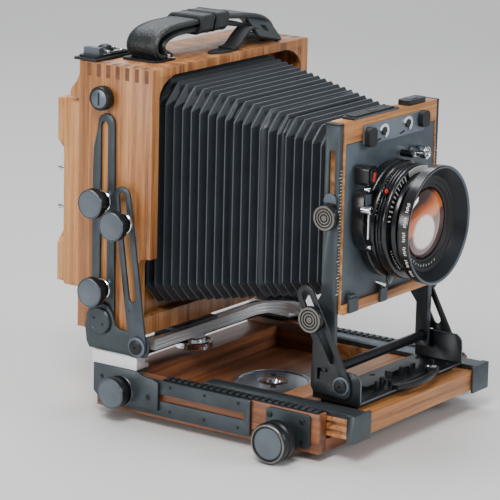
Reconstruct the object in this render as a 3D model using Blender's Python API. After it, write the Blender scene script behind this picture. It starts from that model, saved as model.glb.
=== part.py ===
"""Folding wooden 4x5 inch field camera with lens, standing open.

Lengths are millimetres while a shape is made and metres in the objects.
Seen by someone who faces the lens: +X is right, -Y is towards them, +Z is up.
Heights are counted from the underside of the bed, which stands BED_Z above the
tripod plate's bottom face.  Left and right are that viewer's.
"""
import bpy
import bmesh
from math import cos, sin, pi
from mathutils import Vector

MM = 0.001
GAP = 0.3                     # air left between pieces that touch

# ---- driving dimensions ----
BED_Z = 5.2                   # tripod plate thickness plus its gap
BED_HALF_LENGTH = 82.0
RAIL_OUT, RAIL_IN = 84.0, 76.5
RAIL_TOP = 24.6
BOARD_TOP = 8.0
TRACK_OUT = 86.3              # outer face of the slotted side tracks
SLOT_HEIGHT = 14.0            # centre line of the side tracks' slot

SHAFT = (-60.4, 7.8)          # focus shaft: y, z
PINION_RADIUS = 4.0
TEETH = 8

SLIDE_Z = (10.1, 22.3)        # sliding bed
SLIDE_HALF = 75.8
SLIDE_FRONT = -100.0

BASE_Z = (25.6, 27.2)         # folded base plate of the front standard
BASE_HALF = 58.5
SWING_AXIS = (0.0, -76.0)
FRONT_PIVOT = (-66.5, 41.2)   # front tilt axis: y, z
FRONT_STUD = (-61.2, 74.6)
FRONT_STRUT_PIVOT = (-81.5, 36.7)
POST_Y = (-71.5, -61.5)
POST_OUT = 55.0
POST_TOP = 190.0
RISE_STUD = (-66.6, 136.0)
LENS_FRAME_HALF = 50.9
LENS_FRAME_Z = (76.5, 191.4)
LENS_FRAME_Y = (-72.5, -62.0)
LENS_Z = 127.0                # height of the lens axis

CARRIAGE_Y = (48.7, 82.7)
BLOCK_Z = (28.3, 36.2)
REAR_PIVOT = (78.0, 54.7)     # rear tilt axis: y, z
REAR_STRUT_PIVOT = (48.3, 43.4)
LOCK_KNOB = (60.5, SLOT_HEIGHT)
REAR_STUD = (59.0, 118.8)
ARM_KNOBS = (129.2, 74.3)     # heights of the two knobs on each arm
FRAME_HALF = 82.5
FRAME_Y = (44.0, 99.0)
FRAME_Z = (47.0, 212.5)
BACK_Y = (99.3, 112.8)
GLASS_FRAME_Y = (113.1, 119.0)
ARM_X = (82.8, 84.6)
BRACKET_X = (84.9, 86.7)
STRUT_X = (87.0, 88.6)
FRONT_STRUT_X = (58.8, 60.6)
STRUT_SLOT = 2.6              # half the width of the struts' slots

SIDES = (("left", -1), ("right", 1))

# ---- bodies: name -> (parent, pivot) ----
BODIES = {
    "bed": (None, (0, 0, 0)),
    "focus_shaft": ("bed", (0, SHAFT[0], SHAFT[1])),
    "sliding_bed": ("bed", (0, SLIDE_FRONT, SLIDE_Z[0])),
    "front_base": ("sliding_bed", (SWING_AXIS[0], SWING_AXIS[1], BASE_Z[0])),
    "swing_lever": ("front_base", (27.0, -92.0, BASE_Z[1])),
    "front_posts": ("front_base", (0, FRONT_PIVOT[0], FRONT_PIVOT[1])),
    "lens_standard": ("front_posts", (0, LENS_FRAME_Y[0], LENS_FRAME_Z[0])),
    "board_latch": ("lens_standard", (0, -73.0, 181.0)),
    "speed_ring": ("lens_standard", (0, -90.0, LENS_Z)),
    "aperture_lever": ("lens_standard", (0, -85.0, LENS_Z)),
    "cocking_lever": ("lens_standard", (0, -87.0, LENS_Z)),
    "rear_carriage": ("bed", (0, CARRIAGE_Y[0], BLOCK_Z[0])),
    "rear_standard": ("rear_carriage", (0, REAR_PIVOT[0], REAR_PIVOT[1])),
    "slide_lock": ("rear_standard", (-64.0, 96.0, FRAME_Z[1])),
    "camera_back": ("rear_standard", (0, BACK_Y[0], 129.5)),
    "glass_carrier": ("camera_back", (0, GLASS_FRAME_Y[0], 129.5)),
}
for side_name, side_sign in SIDES:
    BODIES["front_strut_" + side_name] = ("front_base", (side_sign * FRONT_STRUT_X[0],
                                                         *FRONT_STRUT_PIVOT))
    BODIES["tilt_knob_" + side_name] = ("front_posts", (side_sign * FRONT_STRUT_X[1],
                                                        *FRONT_STUD))
    BODIES["rise_knob_" + side_name] = ("lens_standard", (side_sign * POST_OUT, *RISE_STUD))
    BODIES["rear_strut_" + side_name] = ("rear_carriage", (side_sign * STRUT_X[0],
                                                           *REAR_STRUT_PIVOT))
    BODIES["lock_knob_" + side_name] = ("rear_carriage", (side_sign * 88.3, *LOCK_KNOB))
    BODIES["arm_knob_" + side_name] = ("rear_standard", (side_sign * ARM_X[1], REAR_PIVOT[0],
                                                         ARM_KNOBS[0]))
    BODIES["foot_knob_" + side_name] = ("rear_standard", (side_sign * ARM_X[1], REAR_PIVOT[0],
                                                          ARM_KNOBS[1]))
    BODIES["strut_knob_" + side_name] = ("rear_standard", (side_sign * STRUT_X[1], *REAR_STUD))

FINISHES = {                  # colour, roughness, metallic
    "oiled_wood": ((0.62, 0.30, 0.12), 0.45, 0.0),
    "black_metal": ((0.06, 0.07, 0.08), 0.40, 0.6),
    "bright_metal": ((0.80, 0.81, 0.82), 0.30, 1.0),
    "lens_black": ((0.02, 0.02, 0.022), 0.35, 0.2),
    "black_leather": ((0.03, 0.033, 0.038), 0.60, 0.0),
    "optical_glass": ((0.30, 0.12, 0.10), 0.05, 0.0),
    "frosted_glass": ((0.80, 0.82, 0.82), 0.55, 0.0),
}

ANCHORS = {}


# ---- shape helpers ----
def on_axis(axis, a, b, t):
    """Point with in-plane coordinates a, b and coordinate t along the axis."""
    if axis == "X":
        return (t, a, b)
    if axis == "Y":
        return (a, t, b)
    return (a, b, t)


def prism(axis, lo, hi, outline, holes=()):
    """Flat outline with holes, extruded along an axis from lo to hi."""
    bm = bmesh.new()
    for loop in (outline, *holes):
        verts = [bm.verts.new(on_axis(axis, a, b, lo)) for a, b in loop]
        for i, vert in enumerate(verts):
            bm.edges.new((vert, verts[i - 1]))
    bmesh.ops.triangle_fill(bm, use_beauty=True, use_dissolve=False, edges=bm.edges[:])
    extruded = bmesh.ops.extrude_face_region(bm, geom=bm.faces[:])
    moved = [item for item in extruded["geom"] if isinstance(item, bmesh.types.BMVert)]
    bmesh.ops.translate(bm, verts=moved, vec=Vector(on_axis(axis, 0, 0, hi - lo)))
    bmesh.ops.recalc_face_normals(bm, faces=bm.faces[:])
    return bm


def box(x, y, z):
    """Box between the pairs of limits x, y and z."""
    return prism("Z", min(z), max(z), [(x[0], y[0]), (x[1], y[0]), (x[1], y[1]), (x[0], y[1])])


def arc(a, b, radius, start, end, steps):
    """Points on an arc, angles in degrees."""
    turn = [(start + (end - start) * i / steps) * pi / 180 for i in range(steps + 1)]
    return [(a + radius * cos(t), b + radius * sin(t)) for t in turn]


def circle(a, b, radius, steps=16):
    return arc(a, b, radius, 0, 360, steps)[:-1]


def capsule(start, end, radius, steps=5):
    """Outline of a straight slot between two centres."""
    along = Vector(end) - Vector(start)
    facing = Vector((1, 0)).angle_signed(along) * -180 / pi
    return (arc(*end, radius, facing - 90, facing + 90, steps)
            + arc(*start, radius, facing + 90, facing + 270, steps))


def rounded_rectangle(a, b, radius, steps=3):
    corners = ((a[1], b[1], 0), (a[0], b[1], 90), (a[0], b[0], 180), (a[1], b[0], 270))
    points = []
    for corner_a, corner_b, start in corners:
        centre_a = corner_a - radius if start in (0, 270) else corner_a + radius
        centre_b = corner_b - radius if start in (0, 90) else corner_b + radius
        points += arc(centre_a, centre_b, radius, start, start + 90, steps)
    return points


def lathe(axis, centre, profile, segments=20):
    """Closed (radius, position) profile turned about an axis through centre."""
    bm = bmesh.new()
    rings = []
    for radius, t in profile:
        if radius == 0:
            rings.append([bm.verts.new(on_axis(axis, *centre, t))] * segments)
            continue
        ring = circle(*centre, radius, segments)
        rings.append([bm.verts.new(on_axis(axis, a, b, t)) for a, b in ring])
    for i, ring in enumerate(rings):
        before = rings[i - 1]
        for k in range(segments):
            corners = (before[k - 1], before[k], ring[k], ring[k - 1])
            unique = list(dict.fromkeys(corners))
            if len(unique) > 2:
                bm.faces.new(unique)
    bmesh.ops.recalc_face_normals(bm, faces=bm.faces[:])
    return bm


def as_object(bm, name):
    mesh = bpy.data.meshes.new(name)
    bm.to_mesh(mesh)
    bm.free()
    obj = bpy.data.objects.new(name, mesh)
    bpy.context.scene.collection.objects.link(obj)
    return obj


def combined(base, operation, *others):
    """Boolean of bmeshes; gives back a new bmesh."""
    body = as_object(base, "work")
    tools = [as_object(other, "tool") for other in others]
    for tool in tools:
        modifier = body.modifiers.new("cut", "BOOLEAN")
        modifier.operation = operation
        modifier.object = tool
    graph = bpy.context.evaluated_depsgraph_get()
    result = bmesh.new()
    result.from_mesh(body.evaluated_get(graph).to_mesh())
    for obj in (body, *tools):
        bpy.data.objects.remove(obj, do_unlink=True)
    flat = 0.001
    bmesh.ops.dissolve_limit(result, angle_limit=flat, verts=result.verts[:], edges=result.edges[:])
    bmesh.ops.triangulate(result, faces=result.faces[:])
    return result


def union(base, *others):
    return combined(base, "UNION", *others)


def minus(base, *others):
    return combined(base, "DIFFERENCE", *others)


def add(name, body, finish, bm):
    """Put a finished shape in the scene, with its origin on its body's pivot."""
    pivot = Vector(BODIES[body][1])
    bmesh.ops.translate(bm, verts=bm.verts[:], vec=-pivot)
    bmesh.ops.scale(bm, verts=bm.verts[:], vec=Vector((MM, MM, MM)))
    obj = as_object(bm, name)
    obj.parent = ANCHORS[body]
    obj.data.materials.append(bpy.data.materials[finish])


def mirrored(limits, sign):
    """X limits on the chosen side."""
    return sorted((limits[0] * sign, limits[1] * sign))


# ---- scene set-up ----
def clear_scene():
    for obj in list(bpy.data.objects):
        bpy.data.objects.remove(obj, do_unlink=True)


def make_materials():
    for name, (colour, roughness, metallic) in FINISHES.items():
        material = bpy.data.materials.new(name)
        material.use_nodes = True
        shader = material.node_tree.nodes["Principled BSDF"]
        shader.inputs["Base Color"].default_value = (*colour, 1)
        shader.inputs["Roughness"].default_value = roughness
        shader.inputs["Metallic"].default_value = metallic


def make_anchors():
    for name, (parent, pivot) in BODIES.items():
        anchor = bpy.data.objects.new("pivot_" + name, None)
        bpy.context.scene.collection.objects.link(anchor)
        place = Vector(pivot)
        if parent is None:
            place.z += BED_Z
        else:
            place -= Vector(BODIES[parent][1])
            anchor.parent = ANCHORS[parent]
        anchor.location = place * MM
        ANCHORS[name] = anchor


# ---- bed ----
def bed():
    hole = 9.525 / 2           # three-eighths inch tripod screw
    neck, flange = 14.0, 24.5
    bush_y = 8.0
    plate = prism("Z", -BED_Z, -GAP, rounded_rectangle((-48, 48), (-40, 56), 8),
                  [circle(0, bush_y, hole)])
    bush = lathe("Z", (0, bush_y), [(hole, -2.0), (neck, -2.0), (neck, BOARD_TOP + GAP),
                                    (flange, BOARD_TOP + GAP), (flange, BOARD_TOP + 1.5),
                                    (hole, BOARD_TOP + 1.5)], 32)
    plate_under = minus(plate, lathe("Z", (0, bush_y), [(0, -2.0), (neck - 1, -2.0),
                                                        (neck - 1, 1), (0, 1)]))
    add("tripod_plate", "bed", "bright_metal", union(plate_under, bush))

    groove = (SHAFT[0] - 6.1, SHAFT[0] + 6.1)
    floor = 2.3
    bar_y, bar_top = (57.5, 79.0), 21.0
    side = [(-BED_HALF_LENGTH, 0), (BED_HALF_LENGTH, 0), (BED_HALF_LENGTH, BOARD_TOP),
            (bar_y[1], BOARD_TOP), (bar_y[1], bar_top), (bar_y[0], bar_top),
            (bar_y[0], BOARD_TOP), (groove[1], BOARD_TOP), (groove[1], floor),
            (groove[0], floor), (groove[0], BOARD_TOP), (-BED_HALF_LENGTH, BOARD_TOP)]
    board = prism("X", GAP - RAIL_IN, RAIL_IN - GAP, side)
    bore = lathe("Z", (0, bush_y), [(0, -5), (neck + GAP, -5), (neck + GAP, 12), (0, 12)], 32)
    add("base_board", "bed", "oiled_wood", minus(board, bore))

    for name, sign in SIDES:
        rail = prism("X", *mirrored((RAIL_IN, RAIL_OUT), sign),
                     [(-BED_HALF_LENGTH, 0), (BED_HALF_LENGTH, 0),
                      (BED_HALF_LENGTH, RAIL_TOP), (-BED_HALF_LENGTH, RAIL_TOP)],
                     [circle(*SHAFT, 2.4)])
        add("rail_" + name, "bed", "oiled_wood", rail)
        track = prism("X", *mirrored((RAIL_OUT + GAP, TRACK_OUT), sign),
                      rounded_rectangle((-34.2, 79.0), (2.4, 24.8), 0.8, 1),
                      [capsule((-28, SLOT_HEIGHT), (73, SLOT_HEIGHT), 2.2)])
        add("side_track_" + name, "bed", "black_metal", track)


def pinion_outline():
    pitch = 2 * pi / TEETH
    tip, root = PINION_RADIUS + 0.5, PINION_RADIUS - 0.85
    points = []
    for tooth in range(TEETH):
        middle = tooth * pitch
        for radius, offset in ((root, -0.30), (tip, -0.12), (tip, 0.12), (root, 0.30)):
            angle = middle + offset * pitch
            points.append((SHAFT[0] + radius * sin(angle), SHAFT[1] + radius * cos(angle)))
    return points


def focus_drive():
    shaft_radius, end = 2.0, 90.0
    shaft = lathe("X", SHAFT, [(0, -end), (shaft_radius, -end), (shaft_radius, end), (0, end)], 16)
    pinion = prism("X", -69.5, -62.5, pinion_outline())
    add("focus_shaft", "focus_shaft", "bright_metal", union(shaft, pinion))
    bore = shaft_radius + 0.15
    for name, sign in SIDES:
        profile = [(bore, 86.9), (5.0, 86.9), (5.0, 91.0), (11.6, 91.0), (12.4, 91.8),
                   (12.4, 105.2), (11.6, 106.0), (0, 106.0), (0, 90.5), (bore, 90.5)]
        add("focus_knob_" + name, "focus_shaft", "black_metal",
            lathe("X", SHAFT, [(r, sign * x) for r, x in profile], 24))


# ---- sliding bed ----
def rack_outline():
    """Rack with its teeth down, meshing with the pinion from above."""
    pitch = 2 * pi * PINION_RADIUS / TEETH
    line = SHAFT[1] + PINION_RADIUS
    tip, root, back = line - 0.5, line + 0.85, line + 3.2
    first, count = -6, 27
    points = []
    for gap in range(first, first + count):
        middle = SHAFT[0] + gap * pitch + pitch / 2
        for offset, height in ((-0.30, root), (-0.12, tip), (0.12, tip), (0.30, root)):
            points.append((middle + offset * pitch, height))
    return [(points[0][0] - 1, back)] + [(points[0][0] - 1, root)] + points[1:-1] + [
        (points[-1][0] + 1, root), (points[-1][0] + 1, back)]


def sliding_bed():
    plank_end, arm_end, arm_in = -36.0, 10.0, 60.0
    plan = [(-SLIDE_HALF, SLIDE_FRONT), (SLIDE_HALF, SLIDE_FRONT), (SLIDE_HALF, arm_end),
            (arm_in, arm_end), (arm_in, plank_end), (-arm_in, plank_end), (-arm_in, arm_end),
            (-SLIDE_HALF, arm_end)]
    wood = prism("Z", *SLIDE_Z, plan)
    rack_z = 15.3
    cuts = [box(mirrored((61.7, 70.3), sign), (SLIDE_FRONT + 8, arm_end + 5), (5, rack_z))
            for _, sign in SIDES]
    for _, sign in SIDES:
        for low, high in ((12.4, 14.4), (17.6, 19.4)):
            cuts.append(box(mirrored((SLIDE_HALF - 1.6, 90), sign), (-120, 30), (low, high)))
    add("sliding_bed", "sliding_bed", "oiled_wood", minus(wood, *cuts))

    for name, sign in SIDES:
        front = box(mirrored((58.5, 77.3), sign), (-101.8, SLIDE_FRONT - GAP), (8.4, 25.3))
        wrap = box(mirrored((SLIDE_HALF + GAP, 77.3), sign), (-101.8, -96.5), (8.4, 25.3))
        strip = box(mirrored((62.0, 75.6), sign), (-101.0, 9.0), (SLIDE_Z[1] + GAP, 25.3))
        add("bed_cap_" + name, "sliding_bed", "black_metal", union(front, wrap, strip))
    add("focus_rack", "sliding_bed", "bright_metal", prism("X", -70.0, -62.0, rack_outline()))


# ---- front standard ----
def front_base():
    flange_in, flange_top = 56.9, 44.5
    back, front = -60.0, -93.0
    floor = box((-BASE_HALF, BASE_HALF), (front, back), BASE_Z)
    foot = box((-54, 54), (-89, -63), (SLIDE_Z[1] + GAP, BASE_Z[0] + 0.8))
    sides = []
    for _, sign in SIDES:
        outline = [(back, BASE_Z[0])] + arc(back - 5, flange_top - 5, 5, 0, 90, 4) + arc(
            front + 6, flange_top - 6, 6, 90, 180, 4) + [(front, BASE_Z[0])]
        bores = [circle(*FRONT_PIVOT, 3.4, 12)]
        flange = prism("X", *mirrored((flange_in, BASE_HALF), sign), outline, bores)
        pin = lathe("X", FRONT_STRUT_PIVOT,
                    [(r, sign * x) for r, x in ((0, 57.5), (2.0, 57.5), (2.0, 60.9), (3.6, 60.9),
                                                (3.6, 62.4), (0, 62.4))], 16)
        sides += [flange, pin]
    add("front_base", "front_base", "black_metal", union(floor, foot, *sides))

    bar = arc(3, -40, 56, 246, 300, 8)
    outer = [(x, y - 4.2) for x, y in bar]
    lever = prism("Z", BASE_Z[1] + GAP, BASE_Z[1] + 2.9, bar + outer[::-1])
    hub = lathe("Z", (27.0, -90.5), [(0, BASE_Z[1] + GAP), (4.4, BASE_Z[1] + GAP),
                                     (4.4, BASE_Z[1] + 4.1), (0, BASE_Z[1] + 4.1)], 16)
    add("swing_lever", "swing_lever", "black_metal", union(lever, hub))


def strut_outline(pivot, stud, reach, half, foot):
    """Strut from a round foot at its pivot, past the stud; also its slot's two ends."""
    along = (Vector(stud) - Vector(pivot)).normalized()
    facing = Vector((1, 0)).angle_signed(along) * -180 / pi
    near, far = (Vector(pivot) + along * distance for distance in reach)
    return arc(*far, half, facing - 90, facing + 90, 8) + foot, capsule(near, far, STRUT_SLOT)


def front_struts():
    pivot, stud = FRONT_STRUT_PIVOT, FRONT_STUD
    foot = [(-86.9, 39.6), (-87.6, 35.0), (-87.0, 31.0), (-84.0, 28.9), (-61.5, 30.0),
            (-59.6, 33.0), (-60.2, 60.5)]
    outline, slot = strut_outline(pivot, stud, (16.5, 57.5), 6.1, foot)
    slots = [slot, circle(*pivot, 2.4, 12),
             [(-71.3, 45.2), (-71.3, 43.4), (-66.0, 43.0), (-66.0, 38.0), (-64.0, 38.0),
              (-64.0, 45.0)]]
    for name, sign in SIDES:
        add("front_strut_" + name, "front_strut_" + name, "black_metal",
            prism("X", *mirrored(FRONT_STRUT_X, sign), outline, slots))


def front_posts():
    web_in, flange_in, skin = 53.4, 51.2, 1.6
    front, back = POST_Y
    lug_back = -56.8
    outline = [(front, 34.5), (back, 34.5), (back, 62.0), (lug_back, 68.0), (lug_back, 80.0),
               (back, 88.0), (back, POST_TOP), (front, POST_TOP)]
    rise_slot = capsule((RISE_STUD[0], 131.0), (RISE_STUD[0], 173.5), 2.0)
    for name, sign in SIDES:
        holes = [circle(*FRONT_PIVOT, 3.3, 12), rise_slot, circle(*FRONT_STUD, 2.2, 12)]
        web = prism("X", *mirrored((web_in, POST_OUT), sign), outline, holes)
        lip = box(mirrored((flange_in, POST_OUT), sign), (front, front + skin), (50.0, POST_TOP))
        add("front_post_" + name, "front_posts", "black_metal", union(web, lip))
    ends = 58.2
    tube = lathe("X", FRONT_PIVOT, [(0, -ends), (3.0, -ends), (3.0, ends), (0, ends)], 16)
    add("cross_tube", "front_posts", "black_metal", tube)


def knob(name, body, axis_point, profile, sign, segments=20):
    """Turned knob; profile is (radius, distance from the middle of the camera)."""
    add(name, body, "black_metal",
        lathe("X", axis_point, [(r, sign * x) for r, x in profile], segments))


def front_knobs():
    for name, sign in SIDES:
        knob("tilt_knob_" + name, "tilt_knob_" + name, FRONT_STUD,
             [(0, 53.0), (1.9, 53.0), (1.9, 60.9), (7.7, 60.9), (8.1, 61.4), (8.1, 66.2),
              (7.7, 66.7), (0, 66.7)], sign)
        knob("rise_knob_" + name, "rise_knob_" + name, RISE_STUD,
             [(0, 51.2), (1.6, 51.2), (1.6, 55.4), (7.3, 55.4), (7.7, 55.9), (7.7, 61.9),
              (7.3, 62.4), (0, 62.4)], sign)


def lens_standard():
    half = LENS_FRAME_HALF
    low, high = LENS_FRAME_Z
    front, back = LENS_FRAME_Y
    board_half, board_z, lip_top = 49.6, (79.7, 178.3), 82.0
    seat = front + 2.9
    block = box((-half, half), LENS_FRAME_Y, LENS_FRAME_Z)
    recess = box((-board_half - GAP, board_half + GAP), (front - 5, seat),
                 (board_z[0] - GAP, board_z[1] + GAP))
    window = box((-41, 41), (seat - 5, back + 5), (88.0, 172.0))
    lip = box((-half, half), (front - 2.2, front + 0.1), (low, lip_top))
    frame = union(minus(block, recess, window), lip)
    add("lens_frame", "lens_standard", "oiled_wood", frame)

    hole = 20.9
    board = prism("Y", front + GAP + 0.1, seat - GAP,
                  [(-board_half, board_z[0]), (board_half, board_z[0]),
                   (board_half, board_z[1]), (-board_half, board_z[1])],
                  [circle(0, LENS_Z, hole, 32)])
    add("lens_board", "lens_standard", "black_metal", board)

    latch = prism("Y", front - 2.0, front - GAP,
                  rounded_rectangle((-33.5, 35.5), (175.2, 187.6), 2.0, 2))
    rollers = [lathe("Y", (x, 181.6), [(0, front - 1.0), (3.6, front - 1.0),
                                       (3.6, front - 6.0), (0, front - 6.0)], 12)
               for x in (-29.5, 31.5)]
    add("board_latch", "board_latch", "bright_metal", union(latch, *rollers))


def lens():
    axis = (0, LENS_Z)
    around = 32
    add("shutter_body", "lens_standard", "lens_black", lathe("Y", axis, [
        (17.0, -96.7), (20.0, -96.7), (20.0, -84.0), (35.5, -84.0), (35.5, -73.1),
        (20.4, -73.1), (20.4, -66.9), (17.0, -66.9)], around))
    tab_ring = circle(*axis, 34.5, around)
    eye = [circle(*axis, 20.3, around)]
    for name, layer, direction in (("aperture_lever", (-86.0, -84.3), -118),
                                   ("cocking_lever", (-88.0, -86.3), 142)):
        turn = direction * pi / 180
        reach = Vector((cos(turn), sin(turn)))
        base, tip = Vector(axis) + reach * 32.5, Vector(axis) + reach * 38.0
        ring = prism("Y", *layer, tab_ring, eye)
        tab = prism("Y", *layer, capsule(base, tip, 2.6, 4))
        add(name, name, "lens_black", union(ring, tab))
    add("speed_ring", "speed_ring", "lens_black", lathe("Y", axis, [
        (20.3, -95.0), (31.5, -95.0), (35.2, -92.0), (35.2, -88.3), (20.3, -88.3)], around))
    add("lens_barrel", "lens_standard", "lens_black", lathe("Y", axis, [
        (21.6, -97.4), (27.0, -97.4), (31.0, -100.0), (35.3, -100.7), (35.9, -101.3),
        (35.9, -107.9), (34.7, -107.9), (29.4, -100.4), (22.2, -98.6), (21.6, -98.6)][::-1],
        around))
    add("front_glass", "lens_standard", "optical_glass", lathe("Y", axis, [
        (0, -97.1), (21.2, -97.1), (21.2, -98.3), (14.5, -100.6), (7.5, -101.8), (0, -102.2)],
        around))
    add("rear_barrel", "lens_standard", "lens_black", lathe("Y", axis, [
        (20.7, -69.3), (26.0, -69.3), (26.0, -66.4), (22.5, -65.8), (22.5, -59.0),
        (19.5, -57.0), (19.5, -46.0), (17.0, -46.0), (17.0, -65.0), (20.7, -65.0)], around))


def bellows():
    rear, front = (59.6, 69.0, 63.0, 204.0), (-61.7, 45.5, 84.5, 183.0)
    pleats, fold, wall, cut = 10, 3.2, 1.2, 9.0
    bm = bmesh.new()

    def loop(share, inset):
        y, half, low, high = (a + (b - a) * share for a, b in zip(rear, front))
        half, low, high = half - inset, low + inset, high - inset
        corner = cut * (1 - 0.3 * share)
        points = [(half, low + corner), (half, high - corner), (half - corner, high),
                  (corner - half, high), (-half, high - corner), (-half, low + corner),
                  (corner - half, low), (half - corner, low)]
        return [bm.verts.new((x, y, z)) for x, z in points]

    steps = pleats * 2
    outside = [loop(i / steps, 0 if i % 2 else fold) for i in range(steps + 1)]
    inside = [loop(i / steps, wall + (0 if i % 2 else fold)) for i in range(steps + 1)]
    for skin in (outside, inside):
        for before, after in zip(skin, skin[1:]):
            for k in range(8):
                bm.faces.new((before[k - 1], before[k], after[k], after[k - 1]))
    for end in (0, -1):
        for k in range(8):
            bm.faces.new((outside[end][k - 1], outside[end][k], inside[end][k], inside[end][k - 1]))
    bmesh.ops.recalc_face_normals(bm, faces=bm.faces[:])
    add("bellows", "rear_standard", "black_leather", bm)


# ---- rear carriage ----
def rear_carriage():
    back = CARRIAGE_Y[1]
    for name, sign in SIDES:
        plate = prism("X", *mirrored((TRACK_OUT + GAP, 88.3), sign),
                      [(81.5, 28.0), (81.5, 10.5), (76.5, 5.8), (32.5, 5.8), (32.5, 23.4),
                       (36.5, 25.2), (44.0, 25.8), (48.7, 28.0)],
                      [circle(*LOCK_KNOB, 2.2, 12)])
        shelf = box(mirrored((76.0, 88.3), sign), (CARRIAGE_Y[0], 81.5), (26.7, 28.0))
        add("foot_bracket_" + name, "rear_carriage", "black_metal", union(plate, shelf))
        section = [(76.0, BLOCK_Z[0]), (88.3, BLOCK_Z[0]), (88.3, BLOCK_Z[1]), (76.0, BLOCK_Z[1]),
                   (76.0, 33.8), (79.4, 33.8), (79.4, 30.9), (76.0, 30.9)]
        add("rail_block_" + name, "rear_carriage", "bright_metal",
            prism("Y", CARRIAGE_Y[0], back, [(sign * x, z) for x, z in section]))
        outline = [(86.5, BLOCK_Z[1] + GAP), (88.6, 40.0), (90.0, 50.0)]
        outline += arc(*REAR_PIVOT, 11.0, -5, 120, 7)
        outline += [(69.5, 60.5), (66.5, 53.0), (63.0, 51.4), (56.5, 51.0)]
        outline += arc(*REAR_STRUT_PIVOT, 7.6, 70, 210, 6) + [(44.0, BLOCK_Z[1] + GAP)]
        bracket = prism("X", *mirrored(BRACKET_X, sign), outline, [circle(*REAR_PIVOT, 3.3, 12)])
        foot = box(mirrored((77.0, BRACKET_X[1]), sign), (49.0, 82.0),
                   (BLOCK_Z[1] + GAP, BLOCK_Z[1] + 2.1))
        pin = lathe("X", REAR_STRUT_PIVOT,
                    [(r, sign * x) for r, x in ((0, 85.5), (2.0, 85.5), (2.0, 88.9), (4.6, 88.9),
                                                (4.6, 90.6), (0, 90.6))], 16)
        add("rear_bracket_" + name, "rear_carriage", "black_metal", union(bracket, foot, pin))
        knob("lock_knob_" + name, "lock_knob_" + name, LOCK_KNOB,
             [(0, 84.7), (1.8, 84.7), (1.8, 88.6), (9.2, 88.6), (9.2, 89.6), (7.0, 89.6),
              (7.0, 92.2), (9.2, 92.2), (9.7, 92.7), (9.7, 98.9), (9.2, 99.4), (0, 99.4)], sign)
        outline, slot = strut_outline(REAR_STRUT_PIVOT, REAR_STUD, (30.0, 92.0), 6.3,
                                      arc(*REAR_STRUT_PIVOT, 6.5, 172, 352, 8))
        add("rear_strut_" + name, "rear_strut_" + name, "black_metal",
            prism("X", *mirrored(STRUT_X, sign), outline,
                  [slot, circle(*REAR_STRUT_PIVOT, 2.4, 12)]))

    rail = box((-75.7, 75.7), (64.0, 77.0), (29.0, 34.6))
    clamp = box((-38.0, 10.0), (58.0, 77.5), (34.0, 42.0))
    middle = [(-59.3, 58.7), (34.0, 58.7), (44.0, 59.4), (53.0, 59.0), (61.0, 56.0),
              (67.0, 50.5), (70.4, 43.5), (71.3, 34.5)]
    half = 2.7
    left, right = [], []
    for i, point in enumerate(middle):
        before, after = middle[max(i - 1, 0)], middle[min(i + 1, len(middle) - 1)]
        along = (Vector(after) - Vector(before)).normalized()
        across = Vector((-along.y, along.x)) * half
        left.append(tuple(Vector(point) + across))
        right.append(tuple(Vector(point) - across))
    bar = prism("Z", 33.4, 40.4, left + right[::-1])
    add("cross_rail", "rear_carriage", "bright_metal", union(bar, rail, clamp))


# ---- rear standard ----
def knob_profile(seat, head):
    """Clamping knob: stud through the slot, neck from the seat out to its head."""
    stud, neck, rim, thick = 2.0, 5.3, 9.1, 5.9
    return [(0, FRAME_HALF + GAP), (stud, FRAME_HALF + GAP), (stud, seat), (neck, seat),
            (neck, head), (rim - 0.5, head), (rim, head + 0.6), (rim, head + thick - 0.5),
            (rim - 0.5, head + thick), (0, head + thick)]


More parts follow.
